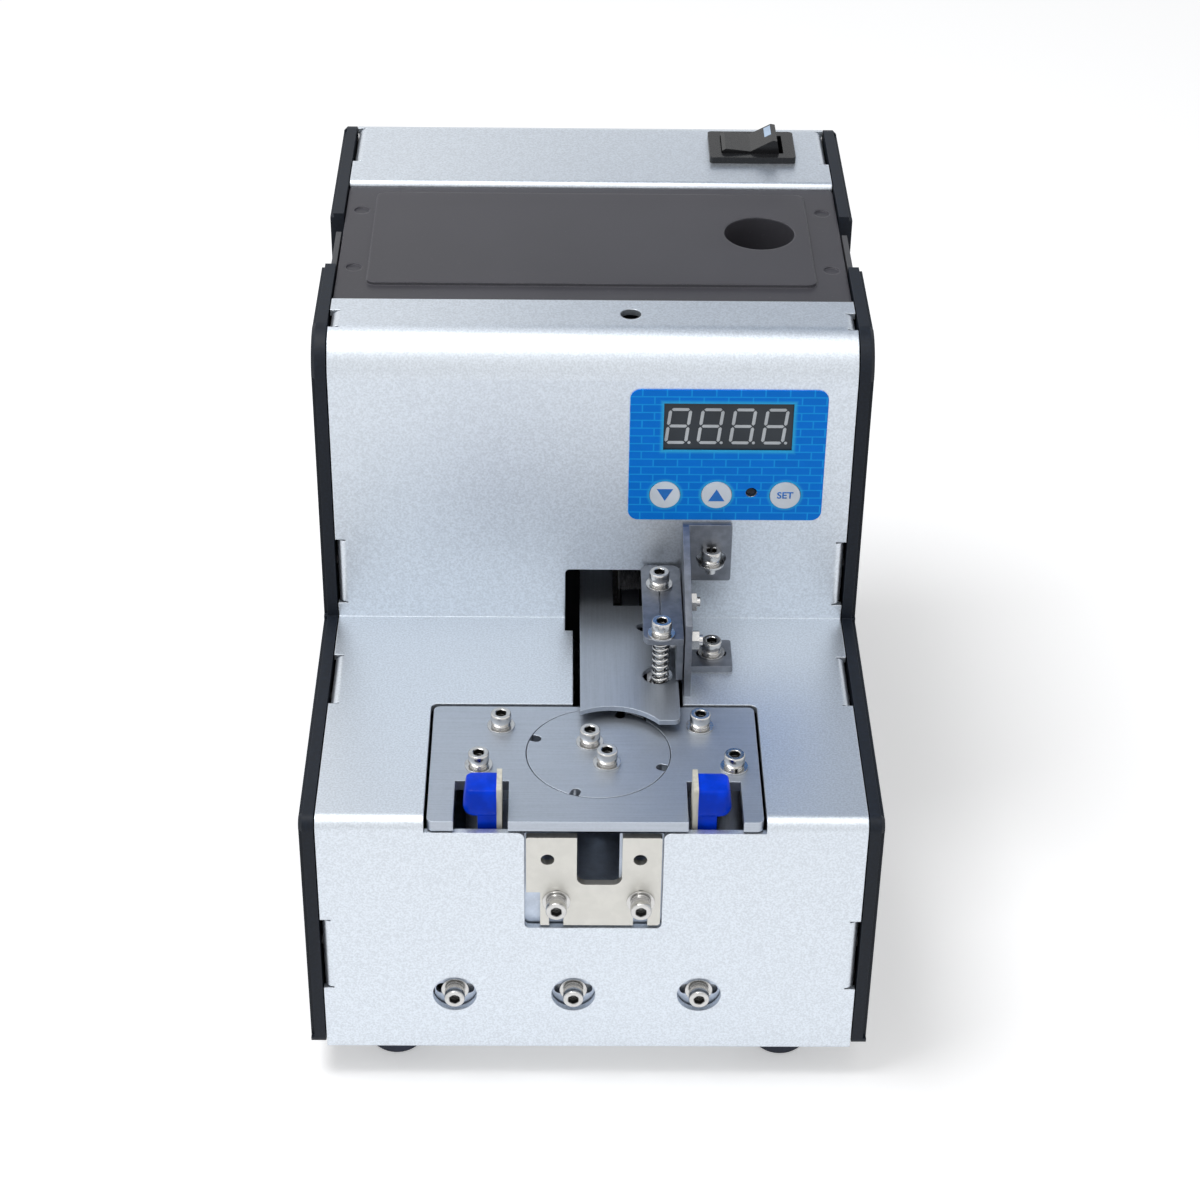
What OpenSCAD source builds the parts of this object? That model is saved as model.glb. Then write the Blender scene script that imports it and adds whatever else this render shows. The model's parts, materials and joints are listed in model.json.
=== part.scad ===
// Automatic screw feeder: a hopper with a lifter and a vibrating rail brings screws
// to the notches of a turntable, where a screwdriver bit picks them up one by one.
// Millimetres. Z is up, Y runs to the back and X to the right of someone facing it.
// The origin is on the table, under the middle of everything that it takes up.

/* [Housing] */
// Width over the two side plates
body_w = 123; // [121:0.5:130]
// Depth of the side plates
body_d = 189; // [188:0.5:200]
// Height of the housing above the table
body_h = 145; // [143:0.5:155]
// Height of the front step above the table
step_h = 73; // [73:0.25:76]
// Depth of the front step
step_d = 74.7; // [74:0.1:76]
// Thickness of the side plates
plate_t = 3.2; // [2.5:0.1:4]
// Sheet thickness of the two covers
sheet = 1.5; // [1:0.1:1.8]
// Outer bend radius at the top front edge
top_r = 9; // [5:0.5:12]
// Outer bend radius at the edge of the step
step_r = 2.8; // [2:0.1:3.5]
// Outer bend radius at the top rear edge
rear_r = 5; // [3:0.5:8]
// Chamfer along the outer edges of the side plates
edge_chamfer = 0.8; // [0.3:0.1:1.2]
// Height of the rubber feet
foot_h = 9.4; // [8:0.2:11]
// Radius of the rubber feet
foot_r = 6.3; // [5.5:0.1:7.5]
// Distance from the middle to the feet, along X
foot_x = 43.3; // [38:0.1:46]
// Thickness of the base plate
base_t = 2; // [1.5:0.1:2.5]

/* [Hopper and lid] */
// Depth of the strip of cover in front of the lid
top_strip = 20.1; // [18:0.1:21]
// Depth of the gap between the covers that the lid closes
lid_gap = 58.95; // [58:0.1:60]
// Thickness of the lid's rim
lid_t = 2.4; // [2:0.1:3]
// Height of the raised panel above the lid's rim
lid_panel = 0.8; // [0.4:0.1:1.2]
// Width of the finger notch in each side plate
notch_w = 25.4; // [20:0.2:28]
// Depth of the finger notch
notch_depth = 12; // [10:0.5:14]
// Radius of the round hole in the lid
lid_hole_r = 8.2; // [7:0.1:9]
// Depth of the collar under that hole
collar_h = 9; // [6:0.5:11]
// Wall thickness of the bin
bin_wall = 1.6; // [1.2:0.1:2]
// Stroke of the lifter
lift = 24; // [20:0.5:24]

/* [Rail and turntable] */
// Centre line of the rail gap, along X
rail_x = 6.4; // [6:0.1:7]
// Gap between the two rails, for the screw's shank
rail_gap = 2.2; // [1.6:0.1:3]
// Width of one rail
rail_w = 4; // [3.5:0.1:4.2]
// Centre of the turntable disc, along X
disc_x = 1.5; // [1:0.1:2]
// Distance of the disc's centre from the front face
disc_inset = 23.9; // [23:0.1:24.5]
// Radius of the turntable disc
disc_r = 15.5; // [14.5:0.1:15.8]
// Thickness of the turntable disc
disc_t = 2; // [1.5:0.1:2.2]
// Number of screw notches in the disc
notch_count = 4; // [2:1:6]
// Thickness of the turntable plate
table_t = 2.5; // [2:0.1:3]
// Thickness of the rail cover plate
rail_cover_t = 1.2; // [1:0.1:1.6]
// Head room between the rails and the rail cover plate
head_room = 2; // [1.5:0.1:2.5]

/* [Brackets and screws] */
// Sheet thickness of the plated brackets
bracket_t = 1.5; // [1:0.1:1.8]
// Spacing of the two mounting holes of the guide bracket
guide_pitch = 19.6; // [18:0.1:21]
// Diameter of the two mounting holes of the guide bracket
guide_hole_d = 2.9; // [2.5:0.1:3.3]
// Diameter of the cap screws' threads
screw_d = 2.4; // [2:0.1:2.6]
// Diameter of the cap screws' heads
head_d = 4.5; // [4:0.1:4.8]
// Height of the cap screws' heads
head_h = 2.5; // [2:0.1:3]
// Diameter of the flat washers
washer_d = 6; // [5.4:0.1:6.4]

/* [Controls] */
// Width of the control label
label_w = 43.6; // [42:0.1:46]
// Height of the control label
label_h = 33.7; // [33:0.1:35]
// Diameter of the three buttons
button_d = 6.8; // [6:0.1:7.2]
// Travel of the buttons
button_travel = 0.5; // [0.3:0.05:0.6]
// Tilt of the power rocker to each side of level
rocker_tilt = 11; // [8:0.5:12]

/* [Hidden] */
$fn = 48;

// Fits
fit = 0.3;        // gap between fixed pieces that don't touch
run = 0.05;       // radial clearance of a running fit
through = 0.4;    // a cut's overshoot past a face

// Housing planes
half_w = body_w / 2;
washer_t = 0.5;
spring_washer_t = 0.7;
guide_t = 1.7;
panel_gap = 0.4;
head_out = washer_t + spring_washer_t + head_h + guide_t - sheet - panel_gap;
front_y = (head_out - body_d) / 2;
rear_y = front_y + body_d;
face_y = front_y + step_d;
inner_x = half_w - plate_t;
cover_x = inner_x - fit;
cover_z = foot_h - 0.4;
floor_z = foot_h + base_t;
corner_r = 2;
lid_y0 = face_y + top_strip;
lid_y1 = lid_y0 + lid_gap;
notch_y = lid_y0 + 16.65;
base_flange = 10;

// Side tabs of the covers: [y, z, turn, length, belongs to the front cover]
tab_r = 2;
tab_drop = 9;
tab_screw_in = 5.5;
TABS = [
  [front_y, 36, 90, 19.6, true],
  [front_y + 50.2, step_h, 0, 18.4, true],
  [face_y, step_h + 12.4, 90, 17.4, true],
  [lid_y0 - 9, body_h, 0, 7.4, true],
  [rear_y - 14.3, body_h, 0, 19, false],
  [rear_y, 36, -90, 19.6, false]];

// Working plane of the rails, the disc and the turntable plate
work_z = step_h - 0.2;
disc_y = front_y + disc_inset;
table_z = work_z - table_t;
disc_gap = 0.2;
notch_angle = 70;
rail_end_gap = 0.5;

// Turntable opening in the front cover
recess_x0 = -35.3;
recess_x1 = 36.7;
recess_y1 = front_y + 41.1;
recess_lip = table_z - 0.4;
table_gap = 0.7;
slot_y = front_y + 14;
SLOTS = [[-29.1, -17.6], [20.2, 31.8]];
table_r = 1.4;
TABLE_HOLES = [[-19.7, 33.2], [-24.2, 19.2], [23.8, 33.3], [30.6, 19]];
disc_screw_r = 4;
disc_screw_angle = 117;

// Guide bracket in the front face
guide_x = 0.5;
guide_w = 28.7;
guide_top = table_z - 1.8;
guide_z0 = guide_top - 24.1;
guide_cut_w = 9.6;
guide_cut_z = guide_top - 12.8;
guide_hole_z = guide_top - 5.9;
guide_slot_x = 9;
guide_slot_z = guide_z0 + 4.4;
guide_slot_h = 11;
guide_screw_z = guide_z0 + 6.8;

// Inner sheet behind the front face, and its shelf
panel_y = front_y + sheet + panel_gap;
panel_t = 1.6;
panel_x0 = -34;
panel_x1 = 35.5;
shelf_z = table_z - 15.7;
shelf_y1 = disc_y + 16;
post_r = 3;
adjust_z = 24.5;
ADJUST_X = [-29.5, -3.6, 23.9];
adjust_hole_r = 4.8;

// Opening for the rail, in the upper face and the step
rail_open_x0 = -5.8;
rail_open_step_x0 = -4;
rail_open_x1 = 20.4;
rail_open_top = step_h + 13.3;
rail_open_jog = 5.4;

// Rails and their drive
rail_h = 12.8;
rail_z = work_z - rail_h;
rail_y0 = disc_y + 12;
bin_y0 = lid_y0 + 3.6;
bin_y1 = lid_y1 - 3.3;
lifter_y0 = bin_y0 + 4;
lifter_y1 = bin_y1 - 3;
rail_y1 = lifter_y0 - 0.6;
rail_block_h = 10;
block_y0 = face_y - 26.2;
block_y1 = lid_y0 - 2.4;
block_x0 = rail_x - 4.5;
block_x1 = rail_x + 4.5;
spring_base_h = 12.6;
leaf_t = 0.6;

// Bin, lifter and cam
rim_z = body_h - 5;
rim_t = 1.5;
lid_z = rim_z + rim_t;
bin_x = inner_x - 6.3;
bin_floor = work_z - lift;
lifter_w = 8;
slot_clear = 0.3;
bin_slope_z = rim_z - 41.2;
crosshead_z = floor_z + 2.6;
crosshead_h = 8.6;
crosshead_y = bin_y1 + 2.5;
crosshead_t = 6;
rod_r = 2;
rod_x = 14;
cam_y = crosshead_y + crosshead_t + 1.5;
cam_t = 4;
cam_z = floor_z + 40.6;
roller_r = 5;
pitch_r = 13;
cam_shaft_r = 3;
mount_y = cam_y + cam_t + 1.5;
mount_t = 2;
mount_top = cam_z + pitch_r + lift + 11;

// Brush above the mouth of the rail
brush_x = rail_x + 2.8;
brush_w = 5.6;
brush_r = 9.4;
brush_y = lid_y0 - 8.4;
brush_z = work_z + 11.2;
brush_shaft_r = 1.5;
brush_shaft = 16;
brush_motor_x = brush_x + brush_w / 2 + 10;

// Rail cover plate and the brackets over it
rail_cover_z = work_z + head_room;
rail_cover_x0 = -2.4;
rail_cover_x1 = 19.4;
rail_cover_y0 = disc_y + 7.5;
support_x0 = rail_x + 6.2;
support_x1 = 19.2;
brush_cut_x0 = rail_x - 1.1;
brush_cut_x1 = rail_x + 6.7;
bridge_x = 20.6;
label_z0 = body_h - 44.8;
bridge_h = label_z0 - 0.7 - step_h;
bridge_top = step_h + bridge_h;
presser_x0 = 11.4;
presser_x1 = bridge_x - fit;
presser_z = step_h + 13.5;
presser_y0 = face_y - 29.9;
presser_y1 = face_y - 0.6;
presser_screw_x = 15.4;
PRESSER_Y = [face_y - 8.6, face_y - 27.8];
bolt_z = step_h + 9;
BOLTS = [[face_y - 6.5, bolt_z], [face_y - 21.5, bolt_z]];
bridge_slot_x = bridge_x + bracket_t + 5.2;
bridge_tab = 0.566 * bridge_h;
bridge_upper_z = bridge_top - bridge_tab + 6.1;
bridge_lower_y = face_y - 16.1;

// Control panel on the upper face
label_x0 = 8.2;
label_t = 0.3;
window_w = 28.6;
window_h = 12;
window_x0 = label_x0 + 7.5;
window_z0 = label_z0 + 18.3;
button_z = label_z0 + 6.7;
button_gap = 0.1;
BUTTON_X = [label_x0 + 8.2, label_x0 + 19.8, label_x0 + 35.2];
led_x = label_x0 + 27.6;
board_y = face_y + 7.4;

// Power switch in the rear cover
switch_x = 39.5;
switch_y = rear_y - 16.1;
switch_w = 21;
switch_d = 15;
bezel_h = 1.6;
rocker_w = 15.1;
rocker_d = 10.2;
rocker_z = body_h - 0.5;

// Power socket in the back
jack_x = -31;
jack_z = 27;

// ---- 2D helpers ----

// Rectangle between two corners with its own radius at each corner
module round_box(a, b, bl = 0, br = 0, tr = 0, tl = 0) {
  difference() {
    translate(a) square(b - a);
    corner_off(a, bl, 1, 1);
    corner_off([b[0], a[1]], br, -1, 1);
    corner_off(b, tr, -1, -1);
    corner_off([a[0], b[1]], tl, 1, -1);
  }
}

// What a rounded corner takes away, at corner p, inwards along sx and sy
module corner_off(p, r, sx, sy) {
  if (r > 0)
    translate(p) scale_flip(sx, sy) difference() {
      translate([-1, -1]) square(r + 1);
      translate([r, r]) circle(r);
    }
}

module scale_flip(sx, sy) {
  mirror([sx < 0 ? 1 : 0, 0]) mirror([0, sy < 0 ? 1 : 0]) children();
}

// Slot of length l between the far ends, along X
module slot2d(l, w) {
  translate([-(l - w) / 2, -w / 2]) square([l - w, w]);
  for (s = [-1, 1]) translate([s * (l - w) / 2, 0]) circle(w / 2);
}

// Extrudes a [y, z] profile along X from x0 to x1
module along_x(x0, x1) {
  translate([x0, 0, 0]) rotate([90, 0, 90]) linear_extrude(x1 - x0) children();
}

// Extrudes an [x, z] profile along Y from y0 to y1
module along_y(y0, y1) {
  translate([0, y1, 0]) rotate([90, 0, 0]) linear_extrude(y1 - y0) children();
}

// Extrudes an [x, y] profile along Z from z0 to z1
module along_z(z0, z1) {
  translate([0, 0, z0]) linear_extrude(z1 - z0) children();
}

// ---- Screws ----

// Socket cap screw with spring washer and flat washer; its seat is at z = 0
module cap_screw(len, flat_d = washer_d) {
  head_z = washer_t + spring_washer_t;
  difference() {
    union() {
      cylinder(h = washer_t, d = flat_d);
      translate([0, 0, washer_t]) cylinder(h = spring_washer_t, d = head_d - 0.3);
      translate([0, 0, head_z]) cylinder(h = head_h, d = head_d);
      translate([0, 0, -len]) cylinder(h = len, d = screw_d);
    }
    translate([0, 0, head_z + head_h - 1.3]) cylinder(h = 2, d = head_d * 0.5, $fn = 6);
  }
}

// Countersunk screw with its head flush at z = 0
module flat_screw(len, d, head) {
  difference() {
    union() {
      translate([0, 0, -(head - d) / 2]) cylinder(h = (head - d) / 2, d1 = d, d2 = head);
      translate([0, 0, -len]) cylinder(h = len, d = d);
    }
    translate([0, 0, -0.9]) cylinder(h = 2, d = 2, $fn = 6);
  }
}

// The hole that a flat_screw needs, with its clearance
module flat_screw_hole(len, d, head) {
  translate([0, 0, -(head - d) / 2]) cylinder(h = (head - d) / 2, d1 = d + 0.3, d2 = head + 0.3);
  translate([0, 0, -0.01]) cylinder(h = through, d = head + 0.3);
  translate([0, 0, -len]) cylinder(h = len, d = d + 0.3);
}

// ---- Housing ----

// Side outline of the housing, moved inwards by inset, down to z0
module outline(inset, z0, low_r = 0) {
  round_box([face_y + inset, z0], [rear_y - inset, body_h - inset],
    br = low_r, tr = rear_r - inset, tl = top_r - inset);
  round_box([front_y + inset, z0], [face_y + inset + 1, step_h - inset],
    bl = low_r, tl = step_r - inset);
}

module outline_notch() {
  round_box([notch_y, body_h - notch_depth], [notch_y + notch_w, body_h + 1], bl = 1, br = 1);
}

// Where the side screws go: tabs, base flange and bin bosses, as [y, z]
side_d = 3;
side_head = 5.6;
SIDE_HOLES = concat(
  [for (t = TABS) [t[0] + tab_screw_in * sin(t[2]), t[1] - tab_screw_in * cos(t[2])]],
  [for (y = [front_y + 18, rear_y - 18]) [y, floor_z + 5]],
  [for (y = [bin_y0 + 7, bin_y1 - 7]) [y, rim_z - 22]]);

// Chamfer cutter along a straight edge of the outline, on the plate's outer face
module edge_cut(y0, z0, length, turn) {
  c = edge_chamfer;
  translate([0, y0, z0]) rotate([turn - 90, 0, 0]) linear_extrude(length)
      polygon([[half_w - c, 1], [half_w + 1, 1], [half_w + 1, -c - 1], [half_w, -c], [half_w - c, 0]]);
}

// Chamfer cutter round a convex corner of radius r about [y, z], from angle a on
module corner_cut(y, z, r, a) {
  c = edge_chamfer;
  translate([half_w, y, z]) rotate([0, 90, 0]) rotate([0, 0, a]) rotate_extrude(angle = 90)
    polygon([[r, -c], [r - c, 0], [r - c, 1], [r + 2, 1], [r + 2, -c]]);
}

module side_plate() {
  difference() {
    along_x(inner_x, half_w) difference() {
      outline(0, foot_h, corner_r);
      outline_notch();
    }
    edge_cut(front_y, foot_h + corner_r, step_h - foot_h - corner_r - step_r, 90);
    corner_cut(front_y + step_r, step_h - step_r, step_r, 180);
    edge_cut(front_y + step_r, step_h, step_d - step_r, 0);
    edge_cut(face_y, step_h, body_h - step_h - top_r, 90);
    corner_cut(face_y + top_r, body_h - top_r, top_r, 180);
    edge_cut(face_y + top_r, body_h, body_d - step_d - top_r - rear_r, 0);
    corner_cut(rear_y - rear_r, body_h - rear_r, rear_r, 90);
    for (h = SIDE_HOLES)
      translate([half_w, h[0], h[1]]) rotate([0, 90, 0]) flat_screw_hole(6, side_d, side_head);
  }
}

module side_plate_right() { color("#1f2124") side_plate(); }
module side_plate_left() { color("#1f2124") mirror([1, 0, 0]) side_plate(); }

module side_screws() {
  color("#2c2d30")
  for (s = [0, 1], h = SIDE_HOLES)
    mirror([s, 0, 0]) translate([half_w, h[0], h[1]]) rotate([0, 90, 0])
      flat_screw(6, side_d, side_head);
}

// Bent skin of both covers as a [y, z] profile
module skin() {
  difference() {
    outline(0, cover_z);
    outline(sheet, cover_z - 1);
  }
}

// One bent side tab; its surface is at z = 0 and it folds down at the cover's edge
module side_tab(len) {
  along_y(-len / 2 + 0.4, len / 2 - 0.4) {
    difference() {
      translate([cover_x - fit - tab_r, -tab_r]) intersection() {
        circle(tab_r);
        square(tab_r);
      }
      translate([cover_x - fit - tab_r, -tab_r]) circle(tab_r - sheet);
    }
    translate([cover_x - fit - sheet, -tab_drop]) square([sheet, tab_drop - tab_r]);
  }
}

module place_tab(t) {
  for (s = [0, 1]) mirror([s, 0, 0]) translate([0, t[0], t[1]]) rotate([t[2], 0, 0]) children();
}

// Cuts the skin back where a tab folds down
module tab_relief(len) {
  translate([cover_x - fit - tab_r, -len / 2, -sheet - 1]) cube([tab_r + 2, len, sheet + 2]);
}

module tab_hole() {
  translate([cover_x - 5, 0, -tab_screw_in]) rotate([0, 90, 0]) cylinder(h = 8, d = side_d + 0.1);
}

module front_cover() {
  color("#d3d6da")
  difference() {
    union() {
      difference() {
        along_x(-cover_x, cover_x) intersection() {
          skin();
          translate([front_y - 1, cover_z - 1]) square([lid_y0 - front_y + 1, body_h]);
        }
        for (t = TABS) if (t[4]) place_tab(t) tab_relief(t[3]);
      }
      for (t = TABS) if (t[4]) place_tab(t) side_tab(t[3]);
    }
    for (t = TABS) if (t[4]) place_tab(t) tab_hole();
    table_opening();
    rail_opening();
    for (x = ADJUST_X) translate([x, front_y - 1, adjust_z]) rotate([-90, 0, 0])
      cylinder(h = sheet + 2, r = adjust_hole_r);
    translate([rail_x + 1.9, lid_y0 - 6.3, body_h - sheet - 1]) cylinder(h = sheet + 2, d = 4.7);
    panel_cuts();
  }
}

// Opening for the turntable plate and, below it, for the guide bracket
module table_opening() {
  along_z(recess_lip, step_h + 1)
    round_box([recess_x0, front_y - 1], [recess_x1, recess_y1], tl = 1.6, tr = 1.6);
  gap = 0.35;
  half = guide_w / 2 + gap;
  along_y(front_y - 1, front_y + sheet + 1) {
    round_box([guide_x - half, guide_z0 - 0.7], [guide_x + half, recess_lip + 1], bl = 1.2, br = 1.2);
    for (s = [-1, 1]) translate([guide_x + s * half, recess_lip]) difference() {
      translate([-1.4, -1.4]) square([2.8, 1.5]);
      translate([s * 1.4, -1.4]) circle(1.4);
    }
  }
}

// Opening from the turntable recess back to the upper face, for the rail
module rail_opening() {
  along_z(step_h - sheet - 1, step_h + 1) {
    translate([rail_open_step_x0, recess_y1 - 1])
      square([rail_open_x1 - rail_open_step_x0, face_y - recess_y1]);
    translate([rail_open_x0, face_y - rail_open_jog])
      square([rail_open_x1 - rail_open_x0, rail_open_jog + sheet + 1]);
  }
  along_y(face_y - 1, face_y + sheet + 1)
    round_box([rail_open_x0, step_h - sheet - 1], [rail_open_x1, rail_open_top], tl = 1, tr = 1);
}

// Holes in the upper face for the display, the buttons and the lamp
module panel_cuts() {
  along_y(face_y - 1, face_y + sheet + 1) {
    translate([window_x0 - 1, window_z0 - 1.2]) square([window_w + 2, window_h + 2.4]);
    for (x = BUTTON_X) translate([x, button_z]) circle(d = button_d + 2 * button_gap);
    translate([led_x, button_z + 0.6]) circle(d = 2.6);
  }
}

module rear_cover() {
  color("#d3d6da")
  difference() {
    union() {
      difference() {
        along_x(-cover_x, cover_x) {
          intersection() {
            skin();
            translate([lid_y1 + 2, cover_z - 1]) square([rear_y - lid_y1, body_h]);
          }
          round_box([lid_y1, body_h - sheet], [lid_y1 + 2.5, body_h], tl = sheet * 0.99);
          translate([lid_y1, body_h - 7]) square([sheet, 7 - sheet + 0.01]);
        }
        for (t = TABS) if (!t[4]) place_tab(t) tab_relief(t[3]);
      }
      for (t = TABS) if (!t[4]) place_tab(t) side_tab(t[3]);
    }
    for (t = TABS) if (!t[4]) place_tab(t) tab_hole();
    translate([switch_x - switch_w / 2 + 0.8, switch_y - switch_d / 2 + 0.8, body_h - sheet - 1])
      cube([switch_w - 1.6, switch_d - 1.6, sheet + 2]);
    translate([jack_x, rear_y - sheet - 1, jack_z]) rotate([-90, 0, 0])
      cylinder(h = sheet + 2, d = 8.4);
  }
}

module base_plate() {
  flange_y = 8;
  color("#9aa0a8")
  difference() {
    union() {
      along_z(foot_h, floor_z)
        translate([-cover_x, front_y + sheet + 1])
          square([2 * cover_x, body_d - 2 * sheet - 2]);
      for (s = [0, 1], y = [front_y + 18, rear_y - 18])
        mirror([s, 0, 0]) translate([cover_x - sheet, y - flange_y, floor_z])
          cube([sheet, 2 * flange_y, base_flange]);
    }
    for (s = [0, 1], y = [front_y + 18, rear_y - 18])
      mirror([s, 0, 0]) translate([cover_x - 5, y, floor_z + 5]) rotate([0, 90, 0])
        cylinder(h = 8, d = side_d + 0.1);
    at_feet() translate([0, 0, foot_h - 1]) cylinder(h = base_t + 2, d = 3.2);
  }
}

foot_inset = 12.8;
module at_feet() {
  for (sx = [-1, 1], y = [front_y + foot_inset, rear_y - foot_inset])
    translate([sx * foot_x, y, 0]) children();
}

module rubber_feet() {
  color("#23262e")
  at_feet() rotate_extrude() difference() {
    polygon([[0, 0], [foot_r - 0.7, 0], [foot_r - 0.2, 0.6], [foot_r, foot_h], [0, foot_h]]);
    translate([-1, -1]) square([1 + 3.4, 1 + 5]);
    translate([-1, 0]) square([1 + 1.65, foot_h + 1]);
  }
}

module foot_screws() {
  color("#8d9196")
  at_feet() {
    translate([0, 0, 3]) difference() {
      cylinder(h = 2, d = 5.6);
      translate([-2, -0.4, -0.01]) cube([4, 0.8, 0.8]);
    }
    translate([0, 0, 5]) cylinder(h = foot_h + base_t - 5 + 2.4, d = 3);
    translate([0, 0, floor_z]) difference() {
      cylinder(h = 2.4, d = 6.2, $fn = 6);
      translate([0, 0, -1]) cylinder(h = 5, d = 3);
    }
  }
}

// ---- Lid, bin and lifter ----

module hopper_lid() {
  w = cover_x - 0.1;
  y0 = lid_y0 + 0.4;
  y1 = lid_y1 - 0.4;
  hole = [bin_x - 13, lid_y0 + 33.8];
  panel_z = lid_z + lid_t + lid_panel;
  color("#5b5257", 0.75)
  difference() {
    union() {
      along_z(lid_z, lid_z + lid_t) round_box([-w, y0], [w, y1], 1.5, 1.5, 1.5, 1.5);
      along_z(lid_z + lid_t, panel_z)
        round_box([1 - bin_x, y0 + 8], [bin_x - 1.4, y1 - 4.4], 2, 2, 2, 2);
      along_z(lid_z - 3, lid_z) difference() {
        lid_rib(0.5);
        lid_rib(2);
      }
      translate([hole[0], hole[1], lid_z - collar_h]) cylinder(h = collar_h, r = lid_hole_r + 1.4);
    }
    translate([hole[0], hole[1], lid_z - collar_h - 1]) cylinder(h = collar_h + 8, r = lid_hole_r);
    for (x = [-bin_x - 2.3, bin_x + 2.6], y = [17.1, 46])
      translate([x, lid_y0 + y, lid_z + lid_t - 0.4]) cylinder(h = 1, r = 1.8);
  }
}

module lid_rib(gap) {
  x = bin_x - bin_wall - gap;
  translate([-x, bin_y0 + bin_wall + gap])
    square([2 * x, bin_y1 - bin_y0 - 2 * bin_wall - 2 * gap]);
}

// Cross-section of the bin as [x, z], moved inwards by t
module bin_section(t, top) {
  half = lifter_w / 2 + slot_clear + 3 - t * 0.6;
  x = bin_x - t;
  polygon([[-x, top], [-x, bin_slope_z + t * 0.4], [rail_x - half, bin_floor - bin_wall + t],
    [rail_x + half, bin_floor - bin_wall + t], [x, bin_slope_z + t * 0.4], [x, top]]);
}

module hopper_bin() {
  boss_z = rim_z - 22;
  ear_t = 1.2;
  color("#3a3c40")
  difference() {
    union() {
      along_y(bin_y0, bin_y1) bin_section(0, rim_z + rim_t);
      along_z(rim_z, rim_z + rim_t)
        round_box([-cover_x + 0.1, lid_y0 + 0.4], [cover_x - 0.1, lid_y1 - 0.4]);
      for (s = [0, 1]) mirror([s, 0, 0]) {
        for (y = [bin_y0 + 7, bin_y1 - 7])
          translate([bin_x - 1, y, boss_z])
            rotate([0, 90, 0]) cylinder(h = inner_x - fit - bin_x + 1, r = 4);
        along_y(notch_y + 0.6, notch_y + notch_w - 8) {
          translate([inner_x, body_h - 10]) square([ear_t, 9.2]);
          translate([cover_x - 3, rim_z]) square([inner_x + ear_t - cover_x + 3, rim_t]);
        }
      }
    }
    along_y(bin_y0 + bin_wall, bin_y1 - bin_wall) bin_section(bin_wall, rim_z + rim_t + 1);
    translate([rail_x - lifter_w / 2 - slot_clear, lifter_y0 - slot_clear, bin_floor - 4])
      cube([lifter_w + 2 * slot_clear, lifter_y1 - lifter_y0 + 2 * slot_clear, 8]);
    along_y(bin_y0 - 1, bin_y0 + bin_wall + 1)
      round_box([rail_x - rail_w - rail_gap / 2 - 0.6, rail_z - 0.6],
        [brush_cut_x1, rail_cover_z + 14], tl = 2, tr = 2);
    for (s = [0, 1], y = [bin_y0 + 7, bin_y1 - 7])
      mirror([s, 0, 0]) translate([bin_x + 1, y, boss_z])
        rotate([0, 90, 0]) cylinder(h = 8, d = side_d + 0.1);
  }
}

// Blade with its groove, rear arm, crosshead and riser, shown at the bottom of the stroke
module lifter() {
  x0 = rail_x - lifter_w / 2;
  bevel = 2.4;
  roller_z = cam_z + pitch_r;
  color("#b9bdc2")
  difference() {
    union() {
      along_y(lifter_y0, lifter_y1)
        polygon([[x0, crosshead_z], [x0, bin_floor - bevel], [rail_x - rail_gap / 2 - 0.6, bin_floor],
          [rail_x + rail_gap / 2 + 0.6, bin_floor], [x0 + lifter_w, bin_floor - bevel],
          [x0 + lifter_w, crosshead_z]]);
      translate([x0, lifter_y1 - 1, crosshead_z])
        cube([lifter_w, crosshead_y - lifter_y1 + 2, crosshead_h]);
      translate([rail_x - rod_x - 5, crosshead_y, crosshead_z])
        cube([2 * rod_x + 10, crosshead_t, crosshead_h]);
      along_y(crosshead_y, crosshead_y + 2.5) {
        translate([rail_x - 4, crosshead_z + 1]) square([8, roller_z - crosshead_z - 1]);
        translate([rail_x, roller_z]) circle(4);
      }
      translate([rail_x, crosshead_y, roller_z]) rotate([-90, 0, 0])
        cylinder(h = cam_y + cam_t - crosshead_y + 0.6, r = 2);
    }
    along_y(lifter_y0 - 1, lifter_y1 + 1)
      translate([rail_x - rail_gap / 2, bin_floor - 6]) square([rail_gap, 7]);
    for (s = [-1, 1]) translate([rail_x + s * rod_x, crosshead_y + crosshead_t / 2, crosshead_z - 1])
      cylinder(h = crosshead_h + 2, r = rod_r + run);
  }
}

module lifter_roller() {
  color("#8f949a")
  translate([rail_x, cam_y, cam_z + pitch_r]) rotate([-90, 0, 0]) difference() {
    cylinder(h = cam_t, r = roller_r);
    translate([0, 0, -1]) cylinder(h = cam_t + 2, r = 2 + run);
  }
}

module guide_rods() {
  color("#c9ccd0")
  for (s = [-1, 1]) translate([rail_x + s * rod_x, crosshead_y + crosshead_t / 2, floor_z])
    cylinder(h = mount_top + 5 - floor_z, r = rod_r);
}

module rod_clamp() {
  y0 = crosshead_y - 0.2;
  color("#7f858c")
  difference() {
    translate([rail_x - rod_x - 5, y0, mount_top])
      cube([2 * rod_x + 10, mount_y + mount_t - y0, 5]);
    for (s = [-1, 1]) translate([rail_x + s * rod_x, crosshead_y + crosshead_t / 2, mount_top - 1])
      cylinder(h = 7, r = rod_r + 0.02);
  }
}

// Constant-velocity heart cam: the pitch radius grows by lift over half a turn, and the
// rim lies a roller's radius and a running gap inside the pitch curve.
cam_steps = 60;
cam_slack = 0.3;
cam_hub_r = 7;
function pitch(a) = pitch_r + lift * (180 - abs(a)) / 180;
function pitch_slope(a) = (a < 0 ? 1 : -1) * lift / PI;
function rim_point(a) =
  let (r = pitch(a), s = pitch_slope(a), n = sqrt(r * r + s * s), off = roller_r + cam_slack)
  [r * sin(a) - off * (r * sin(a) - s * cos(a)) / n, r * cos(a) - off * (r * cos(a) + s * sin(a)) / n];

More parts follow.
